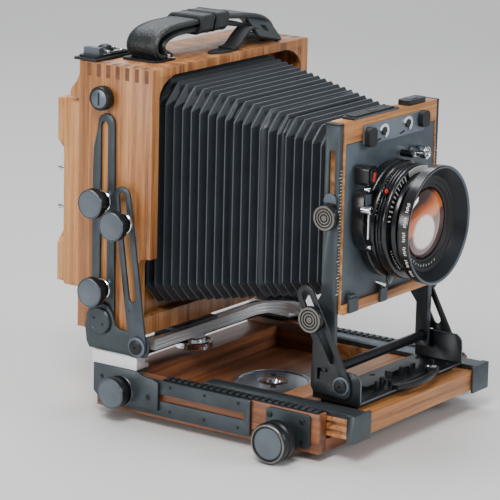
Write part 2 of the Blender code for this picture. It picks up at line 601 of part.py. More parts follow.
def rear_standard():
    y0, y1 = FRAME_Y
    low, high = FRAME_Z
    wall, top, floor = 7.0, 5.0, 11.0
    side = [(y0, high), (y1, high), (y1, 205.0), (101.0, 199.6), (105.0, 195.2), (106.0, 192.0),
            (105.0, 189.6), (y1, 189.2), (y1, low), (53.0, low), (53.0, 92.0), (51.6, 95.6),
            (48.2, 97.0), (y0, 97.0)]
    inner = FRAME_HALF - wall
    back_wall, window = 92.0, 70.0
    shell = minus(prism("X", -FRAME_HALF, FRAME_HALF, side),
                  box((-inner, inner), (y0 - 10, back_wall), (low + floor, high - top)),
                  box((-window, window), (back_wall - 5, y1 + 20), (74.0, 184.0)))
    opening = rounded_rectangle((-64, 64), (74, 185), 2, 1)
    border = [(-inner - 0.5, low + floor - 0.5), (inner + 0.5, low + floor - 0.5),
              (inner + 0.5, high - top + 0.5), (-inner - 0.5, high - top + 0.5)]
    lip = prism("Y", 62.0, 66.0, border, [opening])
    coves = []
    for _, sign in SIDES:
        edge, ceiling = inner + 0.5, high - top + 0.5
        curve = [(sign * (edge - 22 + 22 * sin(t)), ceiling - 15 + 15 * cos(t))
                 for t in (0.0, 0.3, 0.6, 0.9, 1.2, 1.5)]
        coves.append(prism("Y", y0 + 0.01, y0 + 5.0, [(sign * edge, ceiling)] + curve[::-1]))
    add("rear_frame", "rear_standard", "oiled_wood", union(shell, lip, *coves))

    centre = REAR_PIVOT[0]
    half = 8.6
    outline = (arc(centre, REAR_PIVOT[1], half, 180, 360, 8)
               + [(centre + half, 150.0), (86.2, 160.0), (83.4, 172.0)]
               + arc(76.6, 176.8, 6.2, 25, 180, 6))
    slot = capsule((centre, 66.5), (centre, 175.5), 2.7)
    for name, sign in SIDES:
        arm = prism("X", *mirrored(ARM_X, sign), outline, [slot])
        pin = lathe("X", REAR_PIVOT,
                    [(r, sign * x) for r, x in ((0, 83.5), (3.0, 83.5), (3.0, 87.0), (7.6, 87.0),
                                                (7.6, 88.7), (0, 88.7))], 16)
        add("rear_arm_" + name, "rear_standard", "black_metal", union(arm, pin))
        for title, height in zip(("arm_knob_", "foot_knob_"), ARM_KNOBS):
            knob(title + name, title + name, (centre, height), knob_profile(84.9, 92.9), sign)
        knob("strut_knob_" + name, "strut_knob_" + name, REAR_STUD,
             knob_profile(88.9, 96.7), sign)

    add("slide_lock", "slide_lock", "black_metal",
        box((-83.0, -44.0), (86.0, 103.0), (high + GAP, high + 2.0)))

    outer = rounded_rectangle((-80, 80), (70.0, 188.5), 3, 2)
    gate = rounded_rectangle((-62, 62), (80.0, 179.0), 2, 1)
    add("back_panel", "camera_back", "oiled_wood", prism("Y", *BACK_Y, outer, [gate]))

    grips = [(-78, 72.0), (78, 72.0), (78, 96.0), (72, 103.0), (72, 154.0), (78, 161.0),
             (78, 187.0), (-78, 187.0), (-78, 161.0), (-72, 154.0), (-72, 103.0), (-78, 96.0)]
    pane = rounded_rectangle((-62, 62), (82.0, 177.0), 1, 1)
    add("glass_frame", "glass_carrier", "oiled_wood", prism("Y", *GLASS_FRAME_Y, grips, [pane]))
    add("ground_glass", "glass_carrier", "frosted_glass",
        box((-61.4, 61.4), (114.5, 116.5), (82.8, 176.2)))

    add("strap", "rear_standard", "black_leather", strap_shape(high + 0.4))


def strap_shape(base):
    """Leather carrying strap, standing in an arch over the frame's top."""
    y0, y1, thick = 58.5, 82.0, 4.2
    crown = base + 22.8
    outer = [(-61.0, base), (-62.0, base + 9.0), (-57.5, base + 16.0), (-48.0, base + 20.5),
             (-32.0, crown - 0.6), (-5.0, crown), (22.0, crown - 0.8), (45.0, base + 19.0),
             (60.0, base + 14.5), (68.5, base + 7.5), (70.0, base)]
    inner = [(65.0, base), (63.0, base + 5.5), (56.0, base + 10.5), (42.0, base + 14.8),
             (20.0, crown - 0.8 - thick), (-5.0, crown - thick), (-30.0, crown - 0.6 - thick),
             (-44.5, base + 16.0), (-52.5, base + 12.5), (-56.0, base + 7.0), (-55.0, base)]
    return prism("Y", y0, y1, outer + inner)


def build():
    clear_scene()
    make_materials()
    make_anchors()
    bed()
    focus_drive()
    sliding_bed()
    front_base()
    front_struts()
    front_posts()
    front_knobs()
    lens_standard()
    lens()
    bellows()
    rear_carriage()
    rear_standard()


build()
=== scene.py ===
"""Folding wooden field camera: materials, fine detail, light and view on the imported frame.

Shapes are made in millimetres with heights counted from the underside of the bed,
which stands BED_Z above the floor, and become metres in the objects.
"""
from math import cos, sin, pi, radians, sqrt

import bmesh
import bpy
from mathutils import Matrix, Vector


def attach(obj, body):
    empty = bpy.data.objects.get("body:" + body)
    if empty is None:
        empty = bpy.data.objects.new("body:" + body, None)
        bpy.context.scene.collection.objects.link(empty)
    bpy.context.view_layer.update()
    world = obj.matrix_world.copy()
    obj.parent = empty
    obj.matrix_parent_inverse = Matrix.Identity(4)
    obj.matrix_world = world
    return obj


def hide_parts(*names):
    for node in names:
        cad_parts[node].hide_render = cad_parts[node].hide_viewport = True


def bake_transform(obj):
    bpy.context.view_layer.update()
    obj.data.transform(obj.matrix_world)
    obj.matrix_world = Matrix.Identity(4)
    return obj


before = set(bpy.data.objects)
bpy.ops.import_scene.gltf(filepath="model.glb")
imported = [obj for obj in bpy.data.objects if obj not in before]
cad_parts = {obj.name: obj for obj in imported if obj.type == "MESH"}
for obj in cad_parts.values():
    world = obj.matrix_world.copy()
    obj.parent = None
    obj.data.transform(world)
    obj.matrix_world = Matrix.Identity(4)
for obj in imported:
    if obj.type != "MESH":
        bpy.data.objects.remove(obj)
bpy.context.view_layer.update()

MM = 0.001
BED_Z = 5.2
SIDES = (("left", -1), ("right", 1))

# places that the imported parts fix
LENS_Z = 127.0
RAIL_TOP = 24.6
SHAFT = (-60.4, 7.8)
FRONT_STUD = (-61.2, 74.6)
FRONT_STRUT_PIVOT = (-81.5, 36.7)
RISE_STUD = (-66.6, 136.0)
REAR_PIVOT = (78.0, 54.7)
REAR_STRUT_PIVOT = (48.3, 43.4)
REAR_STUD = (59.0, 118.8)
ARM_KNOBS = (129.2, 74.3)
SLOT_HEIGHT = 14.0
LOCK_KNOB = (60.5, SLOT_HEIGHT)
FRAME_TOP = 212.5


# ---------------------------------------------------------------- materials
class Nodes:
    """A material being wired, with its Principled shader at hand."""

    def __init__(self, name):
        self.material = bpy.data.materials.new(name)
        self.material.use_nodes = True
        self.tree = self.material.node_tree
        self.shader = self.tree.nodes["Principled BSDF"]
        self.place = self.tree.nodes.new("ShaderNodeTexCoord").outputs["Object"]

    def link(self, source, target):
        self.tree.links.new(source, target)

    def set(self, **values):
        for key, value in values.items():
            self.shader.inputs[key.replace("_", " ")].default_value = value

    def stretched(self, scale):
        node = self.tree.nodes.new("ShaderNodeMapping")
        node.inputs["Scale"].default_value = scale
        self.link(self.place, node.inputs["Vector"])
        return node.outputs["Vector"]

    def noise(self, scale, detail=4.0, roughness=0.55, distortion=0.0):
        node = self.tree.nodes.new("ShaderNodeTexNoise")
        node.inputs["Scale"].default_value = 1.0
        node.inputs["Detail"].default_value = detail
        node.inputs["Roughness"].default_value = roughness
        node.inputs["Distortion"].default_value = distortion
        self.link(self.stretched(scale), node.inputs["Vector"])
        return node.outputs["Fac"]

    def cells(self, scale):
        node = self.tree.nodes.new("ShaderNodeTexVoronoi")
        node.inputs["Scale"].default_value = 1.0
        self.link(self.stretched(scale), node.inputs["Vector"])
        return node.outputs["Distance"]

    def math(self, operation, a, b=0.0):
        node = self.tree.nodes.new("ShaderNodeMath")
        node.operation = operation
        for socket, value in zip(node.inputs, (a, b)):
            if isinstance(value, (int, float)):
                socket.default_value = value
            else:
                self.link(value, socket)
        return node.outputs[0]

    def ramp(self, factor, *stops):
        node = self.tree.nodes.new("ShaderNodeValToRGB")
        elements = node.color_ramp.elements
        while len(elements) < len(stops):
            elements.new(0.5)
        for element, (position, colour) in zip(elements, stops):
            element.position = position
            element.color = (*colour, 1.0)
        self.link(factor, node.inputs["Fac"])
        return node.outputs["Color"]

    def mix(self, factor, a, b):
        node = self.tree.nodes.new("ShaderNodeMix")
        node.data_type = "RGBA"
        self.link(factor, node.inputs[0])
        for socket, value in ((node.inputs[6], a), (node.inputs[7], b)):
            if isinstance(value, tuple):
                socket.default_value = (*value, 1.0)
            else:
                self.link(value, socket)
        return node.outputs[2]

    def bump(self, height, strength, distance):
        node = self.tree.nodes.new("ShaderNodeBump")
        node.inputs["Strength"].default_value = strength
        node.inputs["Distance"].default_value = distance
        self.link(height, node.inputs["Height"])
        self.link(node.outputs["Normal"], self.shader.inputs["Normal"])

    def colour(self, source):
        self.link(source, self.shader.inputs["Base Color"])

    def roughness(self, factor, low, high):
        spread = self.math("MULTIPLY", factor, high - low)
        self.link(self.math("ADD", spread, low), self.shader.inputs["Roughness"])

    def axis(self, index):
        node = self.tree.nodes.new("ShaderNodeSeparateXYZ")
        self.link(self.place, node.inputs["Vector"])
        return node.outputs[index]


def along(axis, across, length):
    """Noise frequencies per metre with the grain along one axis."""
    return tuple(length if name == axis else across for name in "XYZ")


def wood(name, axis, pale, middle, dark):
    n = Nodes(name)
    figure = n.noise(along(axis, 120.0, 4.0), 3.0, 0.5, 0.6)
    rings = n.noise(along(axis, 380.0, 7.0), 4.0, 0.6, 0.4)
    fibre = n.noise(along(axis, 1700.0, 40.0), 3.0, 0.6)
    pores = n.noise(along(axis, 2600.0, 130.0), 2.0, 0.5)
    blend = n.math("ADD", n.math("MULTIPLY", figure, 0.45), n.math("MULTIPLY", rings, 0.35))
    blend = n.math("ADD", blend, n.math("MULTIPLY", fibre, 0.20))
    base = n.ramp(blend, (0.37, dark), (0.49, middle), (0.62, pale))
    specks = n.math("GREATER_THAN", pores, 0.665)
    shade = tuple(c * 0.35 for c in dark)
    n.colour(n.mix(n.math("MULTIPLY", specks, 0.6), base, shade))
    n.roughness(fibre, 0.34, 0.56)
    n.set(Coat_Weight=0.18, Coat_Roughness=0.28)
    n.bump(n.math("ADD", fibre, n.math("MULTIPLY", pores, 0.7)), 0.22, 0.00012)
    return n.material


def metal(name, colour, metallic=0.65, low=0.34, high=0.50, grain=2600.0, bump=0.10, coat=0.0):
    n = Nodes(name)
    fine = n.noise((grain, grain, grain), 3.0)
    broad = n.noise((60.0, 60.0, 60.0), 2.0)
    darker, lighter = (tuple(c * k for c in colour) for k in (0.82, 1.18))
    n.colour(n.ramp(n.math("ADD", n.math("MULTIPLY", broad, 0.7), n.math("MULTIPLY", fine, 0.3)),
                    (0.35, darker), (0.65, lighter)))
    n.roughness(fine, low, high)
    n.set(Metallic=metallic, Coat_Weight=coat, Coat_Roughness=0.2)
    n.bump(fine, bump, 0.00005)
    return n.material


def brushed(name, colour, axis, low, high):
    n = Nodes(name)
    lines = n.noise(along(axis, 5200.0, 60.0), 3.0, 0.65)
    n.colour(n.ramp(lines, (0.30, tuple(c * 0.86 for c in colour)), (0.70, colour)))
    n.roughness(lines, low, high)
    n.set(Metallic=0.25)
    n.bump(lines, 0.05, 0.00003)
    return n.material


def leather(name, colour, light, grain, strength, low=0.42, high=0.62, sheen=0.12):
    n = Nodes(name)
    pebbles = n.cells((grain, grain, grain))
    creases = n.noise((grain * 0.35,) * 3, 4.0, 0.6, 0.6)
    wear = n.noise((55.0, 55.0, 55.0), 4.0)
    n.colour(n.ramp(n.math("ADD", n.math("MULTIPLY", wear, 0.6), n.math("MULTIPLY", pebbles, 0.4)),
                    (0.30, colour), (0.75, light)))
    n.roughness(creases, low, high)
    n.set(Sheen_Weight=sheen, Sheen_Roughness=0.35, Sheen_Tint=(0.75, 0.86, 1.0, 1.0))
    n.bump(n.math("ADD", pebbles, n.math("MULTIPLY", creases, 0.8)), strength, 0.0002)
    return n.material


def paint(name, colour, roughness=0.5):
    n = Nodes(name)
    fine = n.noise((900.0, 900.0, 900.0), 2.0)
    n.colour(n.ramp(fine, (0.3, tuple(c * 0.9 for c in colour)), (0.7, colour)))
    n.roughness(fine, roughness - 0.06, roughness + 0.06)
    return n.material


def coated_glass():
    """Painted reflections: orange above, violet-brown below, and a painted pale softbox reflection low on one
    side.
    """
    n = Nodes("coated_glass")
    x = n.math("MULTIPLY", n.axis(0), 1000.0)
    z = n.math("SUBTRACT", n.math("MULTIPLY", n.axis(2), 1000.0), LENS_Z + BED_Z)
    # painted reflections of the lens coat: colour zones by height, orange above and violet-brown below,
    # wobbled by noise
    reflection_wobble = n.noise((90.0, 90.0, 90.0), 2.0, 0.5, 0.8)
    slope = n.math("ADD", n.math("DIVIDE", n.math("SUBTRACT", z, n.math("MULTIPLY", x, 0.45)), 40.0),
                   n.math("ADD", 0.42, n.math("MULTIPLY", reflection_wobble, 0.16)))
    painted_coating_reflection = n.ramp(slope, (0.10, (0.10, 0.045, 0.050)), (0.34, (0.20, 0.105, 0.100)),
                     (0.52, (0.16, 0.055, 0.035)), (0.60, (0.78, 0.22, 0.045)),
                     (0.80, (0.62, 0.13, 0.020)), (0.95, (0.05, 0.015, 0.012)))
    # painted reflection: a pale disc low on the -X side of the glass stands in for a softbox reflection
    wide, high = n.math("ADD", x, 6.0), n.math("ADD", z, 4.0)
    distance = n.math("SQRT", n.math("ADD", n.math("MULTIPLY", wide, wide),
                                     n.math("MULTIPLY", high, high)))
    painted_softbox_reflection = n.ramp(n.math("DIVIDE", distance, 26.0), (0.36, (1.0, 1.0, 1.0)), (0.43, (0.0, 0.0, 0.0)))
    n.colour(n.mix(painted_softbox_reflection, painted_coating_reflection, (0.93, 0.86, 0.83)))
    n.set(Roughness=0.05, Coat_Weight=1.0, Coat_Roughness=0.02, Specular_IOR_Level=0.8)
    return n.material


def focusing_glass():
    """Ground glass with a printed grid every ten millimetres."""
    n = Nodes("ground_glass")
    lines = None
    for index, offset in ((0, 0.0), (2, LENS_Z + BED_Z + 2.5)):
        place = n.math("SUBTRACT", n.math("MULTIPLY", n.axis(index), 1000.0), offset)
        step = n.math("ABSOLUTE", n.math("SUBTRACT", n.math("FRACT", n.math(
            "ADD", n.math("DIVIDE", place, 10.0), 100.5)), 0.5))
        line = n.math("LESS_THAN", step, 0.014)
        lines = line if lines is None else n.math("MAXIMUM", lines, line)
    frost = n.noise((3000.0, 3000.0, 3000.0), 3.0)
    base = n.ramp(frost, (0.3, (0.50, 0.53, 0.53)), (0.7, (0.62, 0.65, 0.65)))
    n.colour(n.mix(lines, base, (0.05, 0.05, 0.05)))
    n.roughness(frost, 0.42, 0.60)
    n.bump(frost, 0.15, 0.00003)
    return n.material


def socket_metal():
    """Tripod plate: black below the bed, chrome bush above it."""
    n = Nodes("tripod_socket")
    chrome = n.math("GREATER_THAN", n.axis(2), 0.0052)
    fine = n.noise((2400.0, 2400.0, 2400.0), 3.0)
    black = n.ramp(fine, (0.3, (0.035, 0.038, 0.042)), (0.7, (0.055, 0.06, 0.065)))
    n.colour(n.mix(chrome, black, (0.74, 0.76, 0.80)))
    n.link(n.math("ADD", n.math("MULTIPLY", chrome, 0.6), 0.4), n.shader.inputs["Metallic"])
    n.roughness(n.math("SUBTRACT", 1.0, chrome), 0.16, 0.50)
    n.bump(fine, 0.06, 0.00004)
    return n.material


PALE, MIDDLE, DARK = (0.60, 0.285, 0.105), (0.36, 0.138, 0.040), (0.125, 0.038, 0.011)
RED = ((0.34, 0.130, 0.050), (0.185, 0.062, 0.023), (0.070, 0.020, 0.008))
LIGHT = ((0.66, 0.325, 0.115), (0.45, 0.185, 0.054), (0.20, 0.068, 0.019))
WOOD_Z = wood("wood_upright", "Z", PALE, MIDDLE, DARK)
WOOD_X = wood("wood_across", "X", PALE, MIDDLE, DARK)
WOOD_Y = wood("wood_lengthwise", "Y", *RED)
WOOD_LIGHT = wood("wood_light", "X", *LIGHT)
WOOD_BACK = wood("wood_back", "Z", *LIGHT)
WOOD_RED = wood("wood_red", "X", *RED)
WOOD_END = wood("wood_end_grain", "X", (0.20, 0.075, 0.026), (0.13, 0.044, 0.015), (0.07, 0.022, 0.008))
STEEL = metal("satin_blue_grey", (0.062, 0.077, 0.088), 0.70, 0.34, 0.48)
STEEL_LIGHT = metal("satin_light_grey", (0.125, 0.150, 0.180), 0.75, 0.28, 0.42)
POST = metal("dark_strut", (0.040, 0.043, 0.046), 0.70, 0.32, 0.46)
SLATE = metal("slate_satin", (0.085, 0.108, 0.130), 0.35, 0.44, 0.58, 1800.0, 0.20)
LATCH = metal("latch_satin", (0.155, 0.185, 0.225), 0.45, 0.38, 0.52, 1800.0, 0.15)
BLACK = metal("black_anodised", (0.016, 0.019, 0.022), 0.50, 0.28, 0.42)
MATT = metal("black_crackle", (0.012, 0.014, 0.016), 0.2, 0.46, 0.62, 1500.0, 0.35)
FACE = metal("knob_face", (0.100, 0.124, 0.146), 0.15, 0.58, 0.74, 1700.0, 0.75)
DISH = metal("polished_dish", (0.42, 0.48, 0.56), 0.9, 0.16, 0.26, 900.0, 0.02)
CHROME = metal("chrome", (0.80, 0.82, 0.85), 1.0, 0.10, 0.20, 900.0, 0.02)
ALUMINIUM = brushed("brushed_aluminium", (0.88, 0.89, 0.91), "Y", 0.26, 0.40)
ALUMINIUM_X = brushed("brushed_aluminium_across", (0.84, 0.87, 0.91), "X", 0.22, 0.36)
BRASS_GREY = metal("warm_grey_rings", (0.20, 0.19, 0.175), 0.85, 0.26, 0.38, 2600.0, 0.05)
LENS_BLACK = metal("lens_black", (0.008, 0.009, 0.011), 0.3, 0.20, 0.32, 2600.0, 0.05, 0.5)
LENS_MATT = metal("lens_matt_black", (0.008, 0.008, 0.009), 0.1, 0.50, 0.62, 2000.0, 0.15)
HOOD = metal("hood_blue_black", (0.013, 0.0155, 0.020), 0.50, 0.34, 0.46, 2600.0, 0.04)
BELLOWS = leather("bellows_cloth", (0.010, 0.0135, 0.018), (0.020, 0.026, 0.034), 1500.0, 0.30, 0.34, 0.50,
                  0.30)
# painted sheen: a lighter, bluish copy of the bellows cloth for the fold ridges, where light glints
BELLOWS_RIDGE_SHEEN = leather("bellows_painted_ridge_sheen", (0.035, 0.044, 0.056), (0.060, 0.075, 0.094), 1500.0, 0.20,
                       0.34, 0.48, 0.30)
STRAP = leather("strap_leather", (0.006, 0.008, 0.009), (0.018, 0.024, 0.026), 620.0, 0.85, 0.34, 0.54)
THREAD = paint("thread", (0.050, 0.058, 0.060), 0.7)
# painted highlight: pale silver for a band on the speed ring where light glints
SPEED_RING_HIGHLIGHT = metal("speed_ring_painted_highlight", (0.80, 0.80, 0.78), 0.6, 0.24, 0.34, 1500.0, 0.05)
WHITE = paint("engraved_white", (0.78, 0.78, 0.76))
RED_MARK = paint("red_mark", (0.55, 0.03, 0.02), 0.4)
GLASS_PAINTED_REFLECTIONS = coated_glass()
GROUND = focusing_glass()
SOCKET = socket_metal()


# ---------------------------------------------------------------- shape helpers
def on_axis(axis, a, b, t):
    if axis == "X":
        return (t, a, b)
    if axis == "Y":
        return (a, t, b)
    return (a, b, t)


def arc(a, b, radius, start, end, steps):
    turn = [radians(start + (end - start) * i / steps) for i in range(steps + 1)]
    return [(a + radius * cos(t), b + radius * sin(t)) for t in turn]


def circle(a, b, radius, steps=32):
    return arc(a, b, radius, 0, 360, steps)[:-1]


def rounded(a, b, radius, steps=5):
    """Rounded rectangle between the limits a and b."""
    points = []
    for corner_a, corner_b, start in ((a[1], b[1], 0), (a[0], b[1], 90),
                                      (a[0], b[0], 180), (a[1], b[0], 270)):
        centre_a = corner_a - radius if start in (0, 270) else corner_a + radius
        centre_b = corner_b - radius if start in (0, 90) else corner_b + radius
        points += arc(centre_a, centre_b, radius, start, start + 90, steps)
    return points


def capsule(start, end, radius, steps=6):
    """Outline of a straight bar with round ends."""
    run = Vector(end) - Vector(start)
    facing = Vector((1, 0)).angle_signed(run) * -180 / pi
    return (arc(*end, radius, facing - 90, facing + 90, steps)
            + arc(*start, radius, facing + 90, facing + 270, steps))


def prism(bm, axis, lo, hi, outline, holes=(), mat=0):
    """Adds an extruded outline with holes."""
    part = bmesh.new()
    for loop in (outline, *holes):
        verts = [part.verts.new(on_axis(axis, a, b, lo)) for a, b in loop]
        for i, vert in enumerate(verts):
            part.edges.new((vert, verts[i - 1]))
    bmesh.ops.triangle_fill(part, use_beauty=True, use_dissolve=False, edges=part.edges[:])
    extruded = bmesh.ops.extrude_face_region(part, geom=part.faces[:])
    moved = [item for item in extruded["geom"] if isinstance(item, bmesh.types.BMVert)]
    bmesh.ops.translate(part, verts=moved, vec=Vector(on_axis(axis, 0, 0, hi - lo)))
    bmesh.ops.dissolve_limit(part, angle_limit=0.002, verts=part.verts[:], edges=part.edges[:])
    bmesh.ops.recalc_face_normals(part, faces=part.faces[:])
    merge(bm, part, mat)


def merge(bm, part, mat=None):
    """Adds a finished part to bm, all in one material slot if mat is given."""
    copies = {vert: bm.verts.new(vert.co) for vert in part.verts}
    for face in part.faces:
        new = bm.faces.new([copies[vert] for vert in face.verts])
        new.material_index = face.material_index if mat is None else mat
    part.free()


def block(bm, x, y, z, mat=0):
    """Adds a box between pairs of limits."""
    prism(bm, "Z", min(z), max(z), [(x[0], y[0]), (x[1], y[0]), (x[1], y[1]), (x[0], y[1])],
          mat=mat)


def lathe(bm, axis, centre, profile, mats=0, steps=64, knurl=0.0):
    """Adds a turned shape with a closed profile.

    The profile holds (radius, position); a third value sets the material of the
    surface that ends there, and a fourth marks a knurled ring.
    """
    rings = []
    for point in profile:
        radius, t = point[0], point[1]
        if radius == 0:
            rings.append([bm.verts.new(on_axis(axis, *centre, t))] * steps)
            continue
        ring = []
        for k in range(steps):
            wide = radius - knurl * (k % 2) if len(point) > 3 else radius
            turn = 2 * pi * k / steps
            place = (centre[0] + wide * cos(turn), centre[1] + wide * sin(turn))
            ring.append(bm.verts.new(on_axis(axis, *place, t)))
        rings.append(ring)
    faces = []
    for i, ring in enumerate(rings):
        before = rings[i - 1]
        mat = profile[i][2] if len(profile[i]) > 2 else mats
        for k in range(steps):
            corners = list(dict.fromkeys((before[k - 1], before[k], ring[k], ring[k - 1])))
            if len(corners) > 2:
                face = bm.faces.new(corners)
                face.material_index = mat
                faces.append(face)
    bmesh.ops.recalc_face_normals(bm, faces=faces)


def turned(bm, point, profile, sign, **options):
    """Lathe about X at point (y, z), on one side of the camera."""
    flipped = [(p[0], sign * p[1], *p[2:]) for p in profile]
    lathe(bm, "X", point, flipped, **options)


def screw(bm, axis, centre, seat, direction, radius, height, mat=0, dark=1, cross=True):
    """Adds a domed screw head with a driver slot."""
    top = seat + direction * height
    lathe(bm, axis, centre, [(0, seat), (radius, seat), (radius, seat + direction * height * 0.6),
                             (radius * 0.78, top), (0, top)], mats=mat, steps=24)
    long, thin = radius * 0.62, radius * 0.13
    low, high = sorted((top - direction * height * 0.3, top + direction * 0.04))
    for a, b in ((long, thin), (thin, long)) if cross else ((long * 1.2, thin),):
        outline = [(centre[0] - a, centre[1] - b), (centre[0] + a, centre[1] - b),
                   (centre[0] + a, centre[1] + b), (centre[0] - a, centre[1] + b)]
        prism(bm, axis, low, high, outline, mat=dark)


def bridge(bm, rings, mat=0):
    """Joins closed rings of points by quads, and caps both ends; the caps come last."""
    faces = []
    for before, after in zip(rings, rings[1:]):
        for k in range(len(before)):
            faces.append(bm.faces.new((before[k - 1], before[k], after[k], after[k - 1])))
    faces += [bm.faces.new(rings[0]), bm.faces.new(rings[-1])]
    for face in faces:
        face.material_index = mat
    bmesh.ops.recalc_face_normals(bm, faces=faces)
    return faces


def sweep(bm, path, section, mat=0, up=Vector((0, 1, 0))):
    """Sweeps a closed section (across, out) along a path of points."""
    points = [Vector(p) for p in path]
    rings = []
    for i, point in enumerate(points):
        ahead = points[min(i + 1, len(points) - 1)] - points[max(i - 1, 0)]
        out = ahead.normalized().cross(up).normalized()
        rings.append([bm.verts.new(point + up * a + out * b) for a, b in section])
    bridge(bm, rings, mat)


def smooth_path(points, count):
    """Catmull-Rom curve through the points, at even steps of its parameter."""
    pts = [Vector(p) for p in points]
    pts = [pts[0] * 2 - pts[1]] + pts + [pts[-1] * 2 - pts[-2]]
    spans = len(pts) - 3
    result = []
    for i in range(count + 1):
        place = min(i / count * spans, spans - 1e-6)
        k, t = int(place), place - int(place)
        p0, p1, p2, p3 = pts[k:k + 4]
        result.append(0.5 * ((2 * p1) + (p2 - p0) * t + (2 * p0 - 5 * p1 + 4 * p2 - p3) * t * t
                             + (3 * p1 - p0 - 3 * p2 + p3) * t * t * t))
    return result


def piece(name, bm, body, materials, bevel=0.0, smooth=35, replaces=(), rides=True):
    """Turns a bmesh in millimetres into a piece that rides on a body."""
    for vert in bm.verts:
        vert.co = Vector((vert.co.x, vert.co.y, vert.co.z + BED_Z)) * MM
    mesh = bpy.data.meshes.new(name)
    bm.to_mesh(mesh)
    bm.free()
    for material in materials:
        mesh.materials.append(material)
    soften(mesh, smooth)
    obj = bpy.data.objects.new(name, mesh)
    bpy.context.scene.collection.objects.link(obj)
    if bevel:
        add_bevel(obj, bevel)
    if rides:
        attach(obj, body)
    if replaces:
        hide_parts(*replaces)
    return obj


def soften(mesh, angle):
    mesh.polygons.foreach_set("use_smooth", [True] * len(mesh.polygons))
    mesh.set_sharp_from_angle(angle=radians(angle))


def add_bevel(obj, width):
    modifier = obj.modifiers.new("edges", "BEVEL")
    modifier.width = width * MM
    modifier.segments = 2
    modifier.limit_method = "ANGLE"
    modifier.angle_limit = radians(38)
    modifier.harden_normals = True


# ---------------------------------------------------------------- carried-over parts
def dress(node, material, bevel):
    """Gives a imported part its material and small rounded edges."""
    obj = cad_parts[node]
    obj.data.materials.clear()
    obj.data.materials.append(material)
    weld = obj.modifiers.new("weld", "WELD")
    weld.merge_threshold = 0.00001
    soften(obj.data, 30)
    add_bevel(obj, bevel)


LOOKS = (
    (WOOD_RED, 0.5, "base_board"), (WOOD_X, 0.5, "sliding_bed"), (WOOD_Y, 0.5, "rail_left rail_right"),
    (WOOD_Z, 0.7, "rear_frame"), (WOOD_LIGHT, 0.5, "lens_frame"),
    (WOOD_BACK, 0.6, "back_panel glass_frame"), (GROUND, 0.2, "ground_glass"),
    (SOCKET, 0.3, "tripod_plate"), (SLATE, 0.3, "lens_board"), (CHROME, 0.1, "focus_shaft"),
    (BRASS_GREY, 0.1, "focus_rack"), (MATT, 0.3, "slide_lock"), (BLACK, 0.4, "swing_lever"),
    (BLACK, 0.3, "front_base"), (BLACK, 0.2, "cross_tube"),
    (LENS_BLACK, 0.2, "aperture_lever cocking_lever"),
    (STEEL, 0.25, "side_track_left side_track_right front_post_left front_post_right"),
    (STEEL, 0.4, "bed_cap_left bed_cap_right"),
    (STEEL, 0.35, "foot_bracket_left foot_bracket_right"),
    (STEEL, 0.3, "rear_bracket_left rear_bracket_right rear_arm_left rear_arm_right"),
    (STEEL, 0.3, "rear_strut_left rear_strut_right"),
    (POST, 0.3, "front_strut_left front_strut_right"),
    (ALUMINIUM, 0.3, "rail_block_left rail_block_right"))


def dress_parts():
    for material, bevel, nodes in LOOKS:
        for node in nodes.split():
            dress(node, material, bevel)


# ---------------------------------------------------------------- bed
def bed_detail():
    for side, g in SIDES:
        bm = bmesh.new()
        face = 84.3
        x = sorted((g * face, g * 86.3))
        prism(bm, "X", x[0], x[1], rounded((-76.6, -45.5), (2.7, 23.6), 3), [circle(*SHAFT, 3.2)])
        piece("focus_plate_" + side, bm, "bed", [STEEL], 0.25)

        bm = bmesh.new()
        for point in ((-48.4, 19.2), (-71.5, 19.1), (-72.0, 5.8), (-48.4, 5.8)):
            screw(bm, "X", point, g * 86.25, g, 1.9, 0.7)
        for y in (24.5, -1.0, -25.7):
            for z in (21.6, 6.4):
                screw(bm, "X", (y, z), g * 86.25, g, 1.15, 0.15)
        piece("bed_screws_" + side, bm, "bed", [BLACK, LENS_MATT])

        bm = bmesh.new()
        block(bm, sorted((g * 76.7, g * 83.9)), (-80.8, 31.5), (RAIL_TOP, 25.3), 0)
        pitch = 4.7
        y = -80.0
        while y < 30.0:
            block(bm, sorted((g * 77.6, g * 83.2)), (y, y + pitch * 0.52), (25.2, 26.0), 1)
            y += pitch
        piece("rail_scale_" + side, bm, "bed", [BLACK, STEEL], 0.12)

    bm = bmesh.new()
    centre, top = (0, 8), 9.5
    lathe(bm, "Z", centre, [(5.0, top - 0.05), (9.6, top - 0.05, 1), (10.0, top + 0.25), (21.4, top + 0.15),
                            (22.0, top + 0.8), (23.4, top + 0.9), (24.4, top + 0.2), (24.4, top - 1.0),
                            (5.0, top - 1.0)], steps=96)
    for turn in (0.6, 0.6 + pi):
        outline = [(centre[0] + r * cos(turn + t), centre[1] + r * sin(turn + t))
                   for r, t in ((10.5, -0.16), (15.4, -0.11), (15.4, 0.11), (10.5, 0.16))]
        prism(bm, "Z", top + 0.1, top + 0.36, outline, mat=1)
    piece("socket_rings", bm, "bed", [DISH, BLACK])


def focus_knobs():
    for side, g in SIDES:
        bm = bmesh.new()
        bore = 2.15
        turned(bm, SHAFT, [
            (bore, 86.7), (4.6, 86.7, 0), (5.0, 87.2, 0), (5.0, 90.4, 0), (7.6, 90.6, 0), (8.2, 91.2, 0),
            (8.2, 93.6, 0), (9.4, 94.4, 1), (11.6, 94.4, 1), (12.4, 95.0, 1, 1), (12.4, 98.4, 1, 1),
            (11.7, 98.9, 1), (11.2, 99.3, 1), (11.2, 100.3, 1), (11.7, 100.7, 1), (12.4, 101.2, 1, 1),
            (12.4, 104.6, 1, 1), (11.8, 105.5, 1), (11.2, 105.9, 4), (10.6, 105.9, 4),
            (10.2, 105.3, 1), (9.4, 105.3, 1), (9.1, 105.6, 2), (0, 105.7, 2), (0, 90.5),
            (bore, 90.5)],
            g, mats=1, steps=96, knurl=0.28)
        piece("focus_grip_" + side, bm, "focus_shaft", [STEEL, BLACK, FACE, MATT, BRASS_GREY],
              replaces=["focus_knob_" + side])


